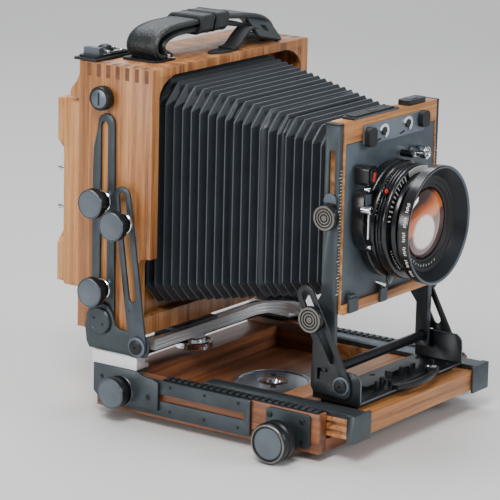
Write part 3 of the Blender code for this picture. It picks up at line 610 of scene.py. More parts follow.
def lock_knobs():
    for side, g in SIDES:
        bm = bmesh.new()
        seat = 88.4
        turned(bm, LOCK_KNOB, knob_section(
            [(0, 84.7), (1.8, 84.7, 0), (1.8, seat, 0), (9.3, seat, 2), (9.5, seat + 0.3, 2),
             (9.3, seat + 1.1, 2), (6.6, seat + 1.1, 0), (6.6, 92.4, 0)], 92.4, 9.7, 7.0),
            g, steps=80, knurl=0.24)
        piece("lock_grip_" + side, bm, "lock_knob_" + side, [BLACK, FACE, CHROME, STEEL_LIGHT],
              replaces=["lock_knob_" + side])


def knob_section(inner, head, radius, thick):
    """Inner profile, then a knurled black head with a satin face and a thin light rim."""
    face = head + thick
    return inner + [(radius - 0.6, head, 0), (radius, head + 0.5, 0, 1), (radius, face - 0.7, 0, 1),
                    (radius - 0.5, face - 0.1, 3), (radius - 0.9, face, 3),
                    (radius - 1.2, face - 0.15, 0), (0.9, face - 0.15, 1), (0.9, face - 0.15, 1),
                    (0, face - 0.15, 1)]


def rear_knobs():
    for side, g in SIDES:
        for title, point, seat, head in (("arm_knob_", (REAR_PIVOT[0], ARM_KNOBS[0]), 84.9, 92.9),
                                         ("foot_knob_", (REAR_PIVOT[0], ARM_KNOBS[1]), 84.9, 92.9),
                                         ("strut_knob_", REAR_STUD, 88.9, 96.7)):
            bm = bmesh.new()
            turned(bm, point, knob_section(
                [(0, 82.8), (2.0, 82.8, 0), (2.0, seat - 0.2, 0), (6.3, seat - 0.2, 2),
                 (6.5, seat + 0.2, 2), (6.5, seat + 1.2, 2), (6.1, seat + 1.6, 2), (4.4, seat + 1.6, 0),
                 (4.4, head - 3.2, 0), (5.6, head - 3.0, 2), (5.8, head - 2.6, 2), (5.8, head - 0.6, 2),
                 (5.4, head, 2)], head, 9.2, 5.9), g, steps=80, knurl=0.22)
            piece(title + "grip_" + side, bm, title + side, [BLACK, FACE, CHROME, STEEL_LIGHT],
                  replaces=[title + side])


# ---------------------------------------------------------------- front standard
def ringed_face(radius, face):
    """Concentric rings turned in a knob's face, from the rim to the centre."""
    points = []
    steps = 4
    for i in range(steps):
        r = radius * (1 - i / steps)
        points += [(r, face, 1), (r - radius * 0.12, face, 1), (r - radius * 0.13, face - 0.45, 0),
                   (r - radius * 0.22, face - 0.45, 0)]
    return points + [(0.9, face - 0.45, 0), (0.8, face, 1), (0, face, 1)]


def front_detail():
    for side, g in SIDES:
        for title, point, start, seat, radius, head in (
                ("tilt_knob_", FRONT_STUD, 53.0, 60.9, 8.1, 66.6),
                ("rise_knob_", RISE_STUD, 51.2, 55.4, 7.8, 62.2)):
            bm = bmesh.new()
            stud = 1.6 if start < 52 else 1.9
            turned(bm, point, [(0, start), (stud, start, 0), (stud, seat, 0), (radius * 0.72, seat, 2),
                               (radius * 0.75, seat + 0.9, 2), (radius * 0.55, seat + 1.2, 0),
                               (radius * 0.55, seat + 1.7, 0), (radius - 0.4, seat + 1.9, 0),
                               (radius, seat + 2.4, 0, 1), (radius, head - 0.6, 0, 1),
                               (radius - 0.5, head, 0)] + ringed_face(radius - 0.9, head),
                   g, steps=72, knurl=0.22)
            piece(title + "grip_" + side, bm, title + side, [BLACK, BRASS_GREY, STEEL_LIGHT],
                  replaces=[title + side])

        bm = bmesh.new()
        half_disc = arc(RISE_STUD[0], RISE_STUD[1] + 9.4, 4.4, -20, 200, 14)
        prism(bm, "X", *sorted((g * 55.1, g * 56.6)), half_disc)
        piece("rise_clamp_" + side, bm, "rise_knob_" + side, [STEEL_LIGHT], 0.3)

        bm = bmesh.new()
        screw(bm, "X", FRONT_STRUT_PIVOT, g * 62.3, g, 4.2, 0.9)
        lathe(bm, "X", FRONT_STRUT_PIVOT, [(4.1, g * 60.9), (5.6, g * 60.9), (5.6, g * 61.6),
                                           (4.1, g * 61.8)], mats=2, steps=48)
        for y in (-88.6, -66.0):
            screw(bm, "X", (y, 31.8 if y < -80 else 33.8), g * 58.4, g, 0.1, 0.02)
        piece("strut_screw_" + side, bm, "front_base", [BLACK, LENS_MATT, STEEL_LIGHT])

        bm = bmesh.new()
        for i in range(38):
            z = 89.0 + i * 2.0
            long = 3.0 if i % 5 == 0 else 1.7
            block(bm, sorted((g * 51.5, g * (51.5 + long))), (-71.56, -71.45), (z, z + 0.34))
        piece("rise_scale_" + side, bm, "front_posts", [WHITE])

        bm = bmesh.new()
        prism(bm, "Z", 189.9, 191.2, rounded(sorted((g * 51.0, g * 55.4)), (-71.9, -61.2), 1.0))
        piece("post_cap_" + side, bm, "front_posts", [BLACK], 0.3)

    bm = bmesh.new()
    for x, y in ((-50.0, -87.5), (50.0, -87.5), (-50.0, -65.5), (50.0, -65.5), (0, -64.5)):
        screw(bm, "Z", (x, y), 27.15, 1, 1.9, 0.5)
    prism(bm, "Z", 27.15, 27.3, rounded((-30, 30), (-88.5, -86.0), 1.2))
    for x, y, radius, top in ((-26.0, -84.5, 1.5, 32.5), (-19.0, -83.5, 1.5, 33.5), (-14.0, -86.0, 1.2, 31.0),
                              (8.0, -80.5, 1.6, 33.5), (15.0, -82.0, 1.4, 32.5), (38.0, -84.0, 1.6, 32.0)):
        lathe(bm, "Z", (x, y), [(0, 27.1), (radius, 27.1), (radius, top - 0.4), (radius - 0.4, top),
                                (0, top)], steps=24)
    block(bm, (-32.0, -10.0), (-81.0, -74.0), (27.1, 29.6))
    block(bm, (3.0, 30.0), (-77.0, -71.5), (27.1, 30.4))
    piece("base_screws", bm, "front_base", [BLACK, LENS_MATT], 0.2)
    # painted highlights: thin light-grey strips swept along the flange edges and the front edge stand in for
    # glints on the base's edges
    bm = bmesh.new()
    for g in (-1, 1):
        x = g * 57.7
        rim = [(x, -92.9, 28.2), (x, -92.9, 38.5), (x, -92.0, 42.0), (x, -89.6, 44.0), (x, -87.0, 44.5),
               (x, -65.0, 44.5), (x, -61.6, 43.2), (x, -60.1, 40.0)]
        sweep(bm, smooth_path(rim, 48), [(-0.42, -0.42), (0.42, -0.42), (0.42, 0.42), (-0.42, 0.42)],
              up=Vector((1, 0, 0)))
    sweep(bm, [Vector((-57.6, -93.0, 27.0)), Vector((57.6, -93.0, 27.0))],
          [(-0.35, -0.35), (0.35, -0.35), (0.35, 0.35), (-0.35, 0.35)])
    piece("base_painted_edge_highlights", bm, "front_base", [STEEL_LIGHT])
    bm = bmesh.new()
    screw(bm, "Z", (27.0, -90.5), 31.2, 1, 3.2, 0.8, cross=False)
    piece("lever_screw", bm, "swing_lever", [CHROME, BLACK])


def lens_frame_detail():
    front, top = -72.5, 191.4
    bm = bmesh.new()
    prism(bm, "Y", front - 2.0, front - 0.3, rounded((-32.5, 34.5), (175.4, 187.4), 1.6))
    for lo, hi, low, high in ((-33.0, -24.4, 174.6, 186.2), (26.0, 34.8, 178.0, 188.0)):
        grip = rounded((lo, hi), (low, high), 3.2)
        prism(bm, "Y", front - 5.6, front - 1.9, grip, mat=1)
    for x, z in ((-12.5, 181.6), (14.0, 182.4)):
        turn = [radians(a) for a in range(-70, 171, 12)]
        hook = [(x + 5.2 * cos(t), z + 4.6 * sin(t)) for t in turn]
        inner = [(x + 3.1 * cos(t), z + 2.6 * sin(t)) for t in turn]
        prism(bm, "Y", front - 2.9, front - 1.95, hook + inner[::-1], mat=2)
        lathe(bm, "Y", (x, z), [(0, front - 1.95), (2.4, front - 1.95), (2.4, front - 2.8),
                                (1.9, front - 3.1), (0, front - 3.1)], mats=1, steps=32)
        run = [(x - 3.4, z - 3.6), (x - 2.0, z - 4.6), (x - 7.8, z - 9.6 + 3.8), (x - 8.6, z - 4.9)]
        prism(bm, "Y", front - 2.25, front - 1.95, run, mat=1)
    piece("latch_plate", bm, "board_latch", [LATCH, MATT, CHROME], 0.2,
          replaces=["board_latch"])

    bm = bmesh.new()
    for lo, hi in ((-46.6, -36.6), (-12.4, -4.4)):
        prism(bm, "Y", front - 3.9, front - 2.15, rounded((lo, hi), (76.9, 85.6), 1.2))
        prism(bm, "Y", front - 3.3, front - 0.5, rounded((lo + 1.4, hi - 1.4), (84.0, 87.8), 1.2))
    piece("board_clips", bm, "lens_standard", [STEEL], 0.3)

    bm = bmesh.new()
    prism(bm, "Z", top - 0.05, top + 1.3, rounded((-40.5, 9.0), (-71.6, -62.6), 1.2))
    prism(bm, "Z", top + 1.2, top + 2.0, rounded((-37.5, 6.0), (-70.4, -63.6), 1.0), mat=1)
    block(bm, (-40.0, 8.6), (-71.9, -71.5), (top + 0.1, top + 1.1), 2)
    prism(bm, "Z", top + 1.9, top + 2.3, rounded((-18.0, -10.0), (-68.6, -65.4), 1.2))
    prism(bm, "Z", top - 0.05, top + 3.1, rounded((20.0, 41.0), (-71.4, -62.8), 2.4))
    prism(bm, "Z", top + 3.0, top + 3.5, rounded((25.5, 35.0), (-69.0, -65.2), 1.6), mat=2)
    for x in (-30.0, -1.0):
        screw(bm, "Z", (x, -67.0), top + 1.9, 1, 1.5, 0.3, 0, 1)
    piece("top_slide", bm, "lens_standard", [BLACK, MATT, STEEL_LIGHT], 0.2)


# ---------------------------------------------------------------- lens
def spokes(bm, radius, long, wide, y, count, start, end, mat):
    """Radial marks on a face that looks along -Y."""
    for i in range(count):
        turn = radians(start + (end - start) * i / max(count - 1, 1))
        out, side = Vector((cos(turn), sin(turn))), Vector((-sin(turn), cos(turn)))
        reach = long * (1.6 if i % 4 == 0 else 1.0)
        corners = [out * (radius - reach) - side * wide, out * radius - side * wide,
                   out * radius + side * wide, out * (radius - reach) + side * wide]
        prism(bm, "Y", y - 0.05, y + 0.05, [(c.x, LENS_Z + c.y) for c in corners], mat=mat)


def lens():
    axis = (0, LENS_Z)
    around = 128
    bm = bmesh.new()
    lathe(bm, "Y", axis, [
        (16.0, -96.6), (20.0, -96.6), (20.0, -84.2), (30.8, -84.2), (31.2, -83.9), (34.9, -83.9),
        (35.5, -83.2, 0, 1), (35.5, -80.4, 0, 1), (34.6, -79.8), (34.6, -78.6), (35.5, -78.0),
        (35.5, -74.0), (34.9, -73.4), (20.4, -73.4), (20.4, -66.9), (16.0, -66.9)],
        steps=around, knurl=0.3)
    spokes(bm, 34.4, 1.5, 0.18, -83.95, 29, 60, 165, 1)
    piece("shutter_case", bm, "lens_standard", [LENS_BLACK, WHITE],
          replaces=["shutter_body"])

    bm = bmesh.new()
    lathe(bm, "Y", axis, [
        (20.3, -94.9), (28.4, -94.9), (28.8, -93.2), (29.4, -92.6), (33.2, -92.2), (34.4, -91.6),
        (35.1, -90.8, 0, 1), (35.1, -88.9, 0, 1), (34.6, -88.4), (20.3, -88.4)],
        steps=around, knurl=0.35)
    spokes(bm, 33.6, 2.6, 0.42, -92.5, 11, 118, 170, 1)
    # painted highlight: a pale silver band on the upper face of the speed ring stands in for a glint of light
    band = [(r * cos(t), LENS_Z + r * sin(t)) for r, turns in (
        (34.0, range(74, 114, 4)), (30.2, range(110, 70, -4))) for t in map(radians, turns)]
    prism(bm, "Y", -92.7, -92.3, band, mat=2)
    spokes(bm, 31.6, 1.1, 0.16, -92.45, 9, 205, 235, 1)
    piece("speed_dial", bm, "speed_ring", [LENS_BLACK, WHITE, SPEED_RING_HIGHLIGHT],
          replaces=["speed_ring"])
    bm = bmesh.new()
    turn = radians(142)
    tip = (37.0 * cos(turn), LENS_Z + 37.0 * sin(turn))
    lathe(bm, "Y", tip, [(0, -88.0), (1.5, -88.0), (1.5, -88.6), (1.1, -89.0), (0, -89.0)], steps=24)
    piece("cocking_mark", bm, "cocking_lever", [RED_MARK])

    bm = bmesh.new()
    lathe(bm, "Y", axis, [
        (21.7, -97.3), (21.9, -98.4, 1), (23.4, -98.9, 1), (24.0, -99.9, 1), (26.2, -100.1, 1),
        (26.6, -100.7, 1), (28.9, -100.9, 1), (29.5, -101.9, 2), (34.0, -107.2, 2),
        (34.5, -107.9, 3), (35.3, -108.0, 3), (35.9, -107.5), (35.9, -101.9), (35.4, -101.3),
        (35.4, -100.9), (31.0, -100.0), (29.2, -97.5), (21.7, -97.0)], steps=around)
    spokes(bm, 26.0, 1.1, 0.16, -100.12, 21, 150, 290, 4)
    piece("lens_hood_ring", bm, "lens_standard", [LENS_BLACK, LENS_MATT, HOOD, STEEL_LIGHT, WHITE],
          replaces=["lens_barrel"])
    bm = bmesh.new()
    for i in range(40):
        t = radians(150 + i * 2.0)
        if i % 7 in (5, 6):
            continue
        out = Vector((cos(t), 0, sin(t)))
        side = Vector((-sin(t), 0, cos(t)))
        spot = out * 35.93 + Vector((0, -105.6 if i % 2 else -105.2, LENS_Z))
        corners = [spot + side * a + Vector((0, b, 0)) for a, b in
                   ((-0.28, -0.9), (0.28, -0.9), (0.28, 0.9), (-0.28, 0.9))]
        base = [bm.verts.new(c) for c in corners]
        lifted = [bm.verts.new(c + out * 0.06) for c in corners]
        bm.faces.new(lifted)
        bm.faces.new(base[::-1])
        for k in range(4):
            bm.faces.new((base[k - 1], base[k], lifted[k], lifted[k - 1]))
    bmesh.ops.recalc_face_normals(bm, faces=bm.faces[:])
    piece("hood_marks", bm, "lens_standard", [WHITE])

    bm = bmesh.new()
    dome = [(21.0 * sin(t) / sin(1.35), -98.2 - 4.0 * (cos(t) - cos(1.35)) / (1 - cos(1.35)))
            for t in [1.35 * (1 - i / 14) for i in range(15)]]
    lathe(bm, "Y", axis, [(0, -97.1), (20.8, -97.1)] + dome, steps=around)
    piece("front_element", bm, "lens_standard", [GLASS_PAINTED_REFLECTIONS], smooth=60,
          replaces=["front_glass"])

    bm = bmesh.new()
    lathe(bm, "Y", axis, [
        (20.7, -69.3), (26.0, -69.3), (26.0, -67.2, 0, 1), (25.4, -66.6), (22.5, -66.2), (22.5, -59.4),
        (19.6, -57.2), (19.6, -46.6), (19.0, -46.0), (17.4, -46.0), (16.8, -48.0, 1), (16.4, -65.0, 1),
        (20.7, -65.0, 1)], steps=around, knurl=0.3)
    lathe(bm, "Y", axis, [(0, -49.5), (16.5, -48.4), (16.5, -52.0), (0, -52.0)], mats=2, steps=64)
    piece("rear_cell", bm, "lens_standard", [LENS_BLACK, LENS_MATT, GLASS_PAINTED_REFLECTIONS],
          replaces=["rear_barrel"])
    shutter_fittings()


def shutter_fittings():
    """Housings and levers round the shutter's rim."""
    bm = bmesh.new()
    housing = [(-40.6, 150.0), (-42.8, 146.0), (-43.4, 128.0), (-40.0, 118.0), (-34.5, 113.0),
               (-33.0, 116.0), (-33.0, 150.0)]
    prism(bm, "Y", -81.6, -73.6, housing)
    prism(bm, "Y", -83.4, -73.6, rounded((-41.6, -32.4), (153.6, 165.4), 2.4))
    prism(bm, "Y", -84.6, -83.3, rounded((-40.2, -34.4), (155.6, 163.4), 1.8))
    prism(bm, "Y", -84.9, -84.5, capsule((-37.6, 157.4), (-36.6, 160.6), 1.3), mat=3)
    prism(bm, "Y", -82.2, -81.4, rounded((-41.2, -35.8), (142.0, 148.4), 0.8), mat=2)
    for x, z, low, high in ((-41.4, 139.8, -86.4, 2.5), (-39.0, 151.4, -83.4, 1.6),
                            (-36.4, 116.4, -83.6, 1.4)):
        lathe(bm, "Y", (x, z), [(0, -80.0), (high, -80.0), (high, low + 0.5), (high - 0.5, low),
                                (0, low)], mats=1, steps=32)
    lever = [(-42.6, 139.0), (-40.2, 139.4), (-41.2, 123.4), (-42.8, 122.6)]
    prism(bm, "Y", -85.4, -84.4, lever, mat=1)
    link = [(-41.0, 139.4), (-39.6, 134.0), (-37.2, 131.0), (-38.6, 129.6), (-41.2, 132.8)]
    prism(bm, "Y", -84.2, -83.2, link, mat=1)
    lathe(bm, "Y", (23.4, 164.0), [(2.5, -73.4), (3.9, -73.4), (3.9, -83.6), (3.3, -84.2), (2.9, -84.2),
                                   (2.5, -83.6)], mats=1, steps=32)
    lathe(bm, "Y", (23.4, 164.0), [(0, -73.4), (2.6, -73.4), (2.6, -80.6), (0, -80.6)], steps=32)
    prism(bm, "Y", -80.6, -79.2, [(8.6, 163.8), (20.6, 161.4), (20.8, 164.0), (9.2, 166.4)], mat=1)
    lathe(bm, "Y", (9.4, 165.0), [(0, -74.0), (2.1, -74.0), (2.1, -82.0), (1.5, -82.6), (0, -82.6)],
          steps=24)
    prism(bm, "Y", -84.0, -83.0, [(-31.0, 95.4), (-29.8, 94.0), (-19.4, 89.4), (-18.8, 91.2)], mat=1)
    piece("shutter_levers", bm, "lens_standard", [LENS_BLACK, CHROME, SLATE, RED_MARK],
          0.2)


# ---------------------------------------------------------------- bellows
REAR_END = (59.6, 69.0, 63.0, 204.5)
FRONT_END = (-61.7, 45.5, 84.5, 183.0)
BELLOWS_SPANS = (("rear_standard", "rear_carriage", 59.6), ("rear_carriage", "bed", 35.6),
                 ("bed", "sliding_bed", 4.6), ("sliding_bed", "front_base", -15.4),
                 ("front_base", "front_posts", -27.4), ("front_posts", "lens_standard", -46.4))


def bellows_loop(y, depth):
    """Cross-section at y; depth 0 is a ridge and 1 a valley."""
    share = (REAR_END[0] - y) / (REAR_END[0] - FRONT_END[0])
    _, half, low, high = (a + (b - a) * share for a, b in zip(REAR_END, FRONT_END))
    inset = (5.4 - 0.8 * share) * depth
    half, low, high = half - inset, low + inset, high - inset
    cut = (13.0 - 3.5 * share) * (1 - depth) + 4.0 * depth
    corners = [(half, low + cut), (half, high - cut), (half - cut, high), (cut - half, high),
               (-half, high - cut), (-half, low + cut), (cut - half, low), (half - cut, low)]
    points = []
    for i, corner in enumerate(corners):
        nxt = Vector(corners[(i + 1) % 8])
        here = Vector(corner)
        pieces = 6 if (nxt - here).length > 40 else 2
        for k in range(pieces):
            spot = here.lerp(nxt, k / pieces)
            points.append((spot.x, spot.y))
    return points


def bellows():
    pleats = 22
    pitch = (REAR_END[0] - FRONT_END[0]) / pleats
    stations = []
    for i in range(pleats):
        start = REAR_END[0] - i * pitch
        # a third value of 1 gives the flat crest of each fold the lighter painted ridge sheen
        stations += [(start, 1.0, 0), (start - pitch * 0.44, 0.0, 0), (start - pitch * 0.56, 0.0, 1)]
    stations.append((FRONT_END[0], 1.0, 0))
    ends = [span[2] for span in BELLOWS_SPANS[1:]] + [FRONT_END[0]]
    for number, ((body, follower, start), end) in enumerate(zip(BELLOWS_SPANS, ends)):
        inside = [s for s in stations if end + 1e-6 < s[0] < start - 1e-6]
        chosen = [(start, *depth_at(stations, start))] + inside + [(end, *depth_at(stations, end))]
        bm = bmesh.new()
        rings = []
        for y, depth, _ in chosen:
            rings.append([bm.verts.new((x, y, z)) for x, z in bellows_loop(y, depth)])
        for (before, after), (_, _, edge) in zip(zip(rings, rings[1:]), chosen[1:]):
            for k in range(len(before)):
                face = bm.faces.new((before[k - 1], before[k], after[k], after[k - 1]))
                face.material_index = edge
        bmesh.ops.recalc_face_normals(bm, faces=bm.faces[:])
        obj = piece(f"bellows_{number}", bm, None, [BELLOWS, BELLOWS_RIDGE_SHEEN],
                    smooth=12, rides=False)
        skin = obj.modifiers.new("skin", "SOLIDIFY")
        skin.thickness = 0.4 * MM
        skin.offset = -1.0
        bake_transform(obj)
        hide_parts("bellows")


def depth_at(stations, y):
    """Fold depth at y, and the material of the band it lies in."""
    for before, after in zip(stations, stations[1:]):
        if after[0] - 1e-9 <= y <= before[0] + 1e-9:
            share = (before[0] - y) / (before[0] - after[0])
            return before[1] + (after[1] - before[1]) * share, after[2]
    return stations[-1][1], 0


# ---------------------------------------------------------------- rear carriage
def carriage_detail():
    path = smooth_path([(34.0, 58.7, 0), (44.0, 59.6, 0), (53.0, 59.2, 0), (61.0, 56.2, 0),
                        (67.0, 50.5, 0), (70.4, 43.5, 0), (71.3, 34.5, 0)], 28)
    path = [Vector((-59.3, 58.7, 0))] + path
    bm = bmesh.new()
    z0, z1 = 33.5, 40.3
    grooves = [(-2.7, z0), (-2.7, 35.4), (-2.2, 35.6), (-2.2, 36.2), (-2.7, 36.4), (-2.7, 37.4),
               (-2.2, 37.6), (-2.2, 38.2), (-2.7, 38.4), (-2.7, z1), (2.7, z1), (2.7, z0)]
    rings = []
    for i, point in enumerate(path):
        ahead = path[min(i + 1, len(path) - 1)] - path[max(i - 1, 0)]
        out = Vector((-ahead.y, ahead.x, 0)).normalized()
        rings.append([bm.verts.new((*(point + out * a).xy, b)) for a, b in grooves])
    for cap in bridge(bm, rings)[-2:]:
        cap.material_index = 1
    piece("shift_bar", bm, "rear_carriage", [ALUMINIUM_X, ALUMINIUM], 0.2,
          replaces=["cross_rail"])

    bm = bmesh.new()
    block(bm, (-75.7, 75.7), (64.0, 77.0), (29.0, 34.6))
    block(bm, (-75.7, 75.7), (66.5, 74.5), (34.5, 35.3))
    block(bm, (-34.0, 6.0), (62.5, 76.0), (34.5, 40.5))
    piece("carriage_rail", bm, "rear_carriage", [BLACK], 0.3)
    bm = bmesh.new()
    prism(bm, "Z", 40.5, 42.4, rounded((-36.0, 8.0), (57.0, 77.0), 1.0))
    prism(bm, "Z", 42.3, 42.8, rounded((-33.0, 5.0), (59.6, 74.6), 0.8))
    piece("clamp_plate", bm, "rear_carriage", [STEEL_LIGHT], 0.35)
    bm = bmesh.new()
    for x, y in ((-22.0, 66.0), (-12.0, 62.6), (-9.0, 69.0)):
        screw(bm, "Z", (x, y), 42.75, 1, 2.1, 0.7)
    lathe(bm, "Z", (-15.0, 59.0), [(0, 26.2), (11.2, 26.2), (11.8, 26.8), (11.8, 30.4),
                                   (11.2, 31.0), (7.4, 31.0), (7.4, 33.4), (0, 33.4)], steps=72)
    piece("clamp_nut", bm, "rear_carriage", [CHROME, BLACK])

    for side, g in SIDES:
        bm = bmesh.new()
        screw(bm, "X", REAR_STRUT_PIVOT, g * 90.4, g, 4.4, 0.9)
        lathe(bm, "X", REAR_STRUT_PIVOT, [(4.5, g * 88.9), (6.2, g * 88.9), (6.2, g * 89.5),
                                          (4.5, g * 89.8)], mats=2, steps=48)
        screw(bm, "X", (39.5, 13.4), g * 88.2, g, 1.9, 0.3, 1, 1)
        screw(bm, "X", (75.0, 20.5), g * 88.2, g, 1.5, 0.3)
        piece("carriage_screws_" + side, bm, "rear_carriage", [BLACK, LENS_MATT, STEEL_LIGHT])
        bm = bmesh.new()
        screw(bm, "X", (54.4, 65.2), g * 88.55, g, 1.2, 0.3)
        piece("strut_rivet_" + side, bm, "rear_strut_" + side, [STEEL, BLACK])


# ---------------------------------------------------------------- rear standard
def frame_detail():
    for side, g in SIDES:
        bm = bmesh.new()
        lathe(bm, "X", REAR_PIVOT, [(0, g * 87.0), (7.9, g * 87.0), (8.3, g * 87.3), (8.3, g * 88.3),
                                    (7.6, g * 89.1), (6.2, g * 89.1), (6.0, g * 88.9), (0, g * 88.9)],
              steps=64)
        for offset in (-3.6, 3.6):
            spot = (REAR_PIVOT[0] + offset * 0.9, REAR_PIVOT[1] + offset * 0.45)
            lathe(bm, "X", spot, [(0, g * 88.5), (0.95, g * 88.5), (0.95, g * 88.98), (0, g * 88.98)],
                  mats=1, steps=20)
        piece("pivot_disc_" + side, bm, "rear_standard", [STEEL, LENS_MATT])

        bm = bmesh.new()
        turned(bm, (78.5, 192.4), [
            (0, 82.4), (5.2, 82.4, 0), (5.2, 83.6, 0), (6.9, 83.8, 0), (7.4, 84.3, 0, 1),
            (7.4, 89.4, 0, 1), (6.9, 90.1, 0), (6.4, 90.2, 0), (5.6, 89.9, 0), (5.4, 90.0, 3),
            (0, 90.0, 3)],
            g, steps=72, knurl=0.2)
        block(bm, sorted((g * 89.9, g * 90.25)), (78.0, 79.0), (188.6, 196.2), 1)
        piece("top_knob_" + side, bm, "rear_standard", [BLACK, LENS_MATT, CHROME, STEEL_LIGHT])

        bm = bmesh.new()
        pitch, tall = 7.2, 8.4
        y = 47.0
        while y + pitch / 2 < 98.8:
            block(bm, sorted((g * 82.40, g * 82.56)), (y, y + pitch * 0.42),
                  (FRAME_TOP - tall, FRAME_TOP - 0.6))
            block(bm, sorted((g * 75.6, g * 82.1)), (y + pitch * 0.42, min(y + pitch, 98.6)),
                  (FRAME_TOP - 0.1, FRAME_TOP + 0.06))
            y += pitch
        piece("finger_joints_" + side, bm, "rear_standard", [WOOD_END])

        bm = bmesh.new()
        for z in (142.6, 118.5):
            lathe(bm, "Y", (g * 75.6, z), [(0, 112.7), (1.1, 112.7), (1.1, 117.6), (1.5, 118.0), (1.5, 119.4),
                                           (1.0, 119.9), (0, 119.9)], steps=24)
        piece("back_pins_" + side, bm, "camera_back", [CHROME])

    bm = bmesh.new()
    for x in (-68.0, 68.0):
        for z in (76.5, 180.5):
            screw(bm, "Y", (x, z), 118.95, 1, 1.8, 0.5)
    piece("back_screws", bm, "glass_carrier", [CHROME, BLACK])

    bm = bmesh.new()
    top = FRAME_TOP + 1.95
    prism(bm, "Z", top, top + 1.4, rounded((-81.0, -47.0), (87.5, 101.5), 2.0))
    block(bm, (-77.0, -72.4), (88.6, 100.6), (top + 1.2, top + 5.6), 1)
    for x, y, radius, high in ((-66.0, 90.6, 1.9, 2.6), (-52.5, 90.4, 1.7, 2.2), (-50.5, 98.4, 1.7, 2.2)):
        lathe(bm, "Z", (x, y), [(0, top + 1.2), (radius, top + 1.2), (radius, top + high),
                                (radius - 0.5, top + high + 0.5), (0, top + high + 0.5)], mats=2, steps=28)
    dome = [(5.6 * sin(t), top + 1.2 + 4.6 * cos(t)) for t in [pi / 2 * (1 - i / 8) for i in range(9)]]
    lathe(bm, "Z", (-61.0, 96.4), [(0, top + 1.2)] + dome, steps=40)
    prism(bm, "Z", top + 1.3, top + 2.2, [(-66.0, 88.8), (-50.0, 88.6), (-49.0, 91.8), (-66.0, 92.6)], mat=2)
    piece("lock_lever", bm, "slide_lock", [BLACK, STEEL_LIGHT, CHROME], 0.25)

    bm = bmesh.new()
    oval = [(3.0 + 15.0 * cos(t), 53.6 + 5.6 * sin(t)) for t in [2 * pi * i / 40 for i in range(40)]]
    prism(bm, "Z", FRAME_TOP - 0.1, FRAME_TOP + 1.2, oval)
    piece("level_plate", bm, "rear_standard", [MATT], 0.3)


# ---------------------------------------------------------------- carrying strap
def strap_ring(width, thick):
    """Section of a soft-edged leather band, (across, out)."""
    half, edge = width / 2, thick / 2
    return [(-half, -edge * 0.5), (-half + 0.9, -edge), (0, -edge * 1.1), (half - 0.9, -edge),
            (half, -edge * 0.5), (half, edge * 0.5), (half - 0.9, edge), (half * 0.5, edge * 1.25),
            (-half * 0.5, edge * 1.25), (-half + 0.9, edge), (-half, edge * 0.5)]


def stitches(bm, path, across, lift, mat):
    """Row of short threads along a strap, lifted off its outer face."""
    for i in range(3, len(path) - 3, 2):
        run = (path[i + 1] - path[i - 1]).normalized()
        out = Vector((run.z, 0, -run.x)) * (-lift)
        start = path[i] + out + Vector((0, across, 0))
        end = path[i].lerp(path[i + 1], 0.9) + out + Vector((0, across, 0))
        sweep(bm, [start, end], [(-0.3, -0.2), (0.3, -0.2), (0.3, 0.2), (-0.3, 0.2)], mat)


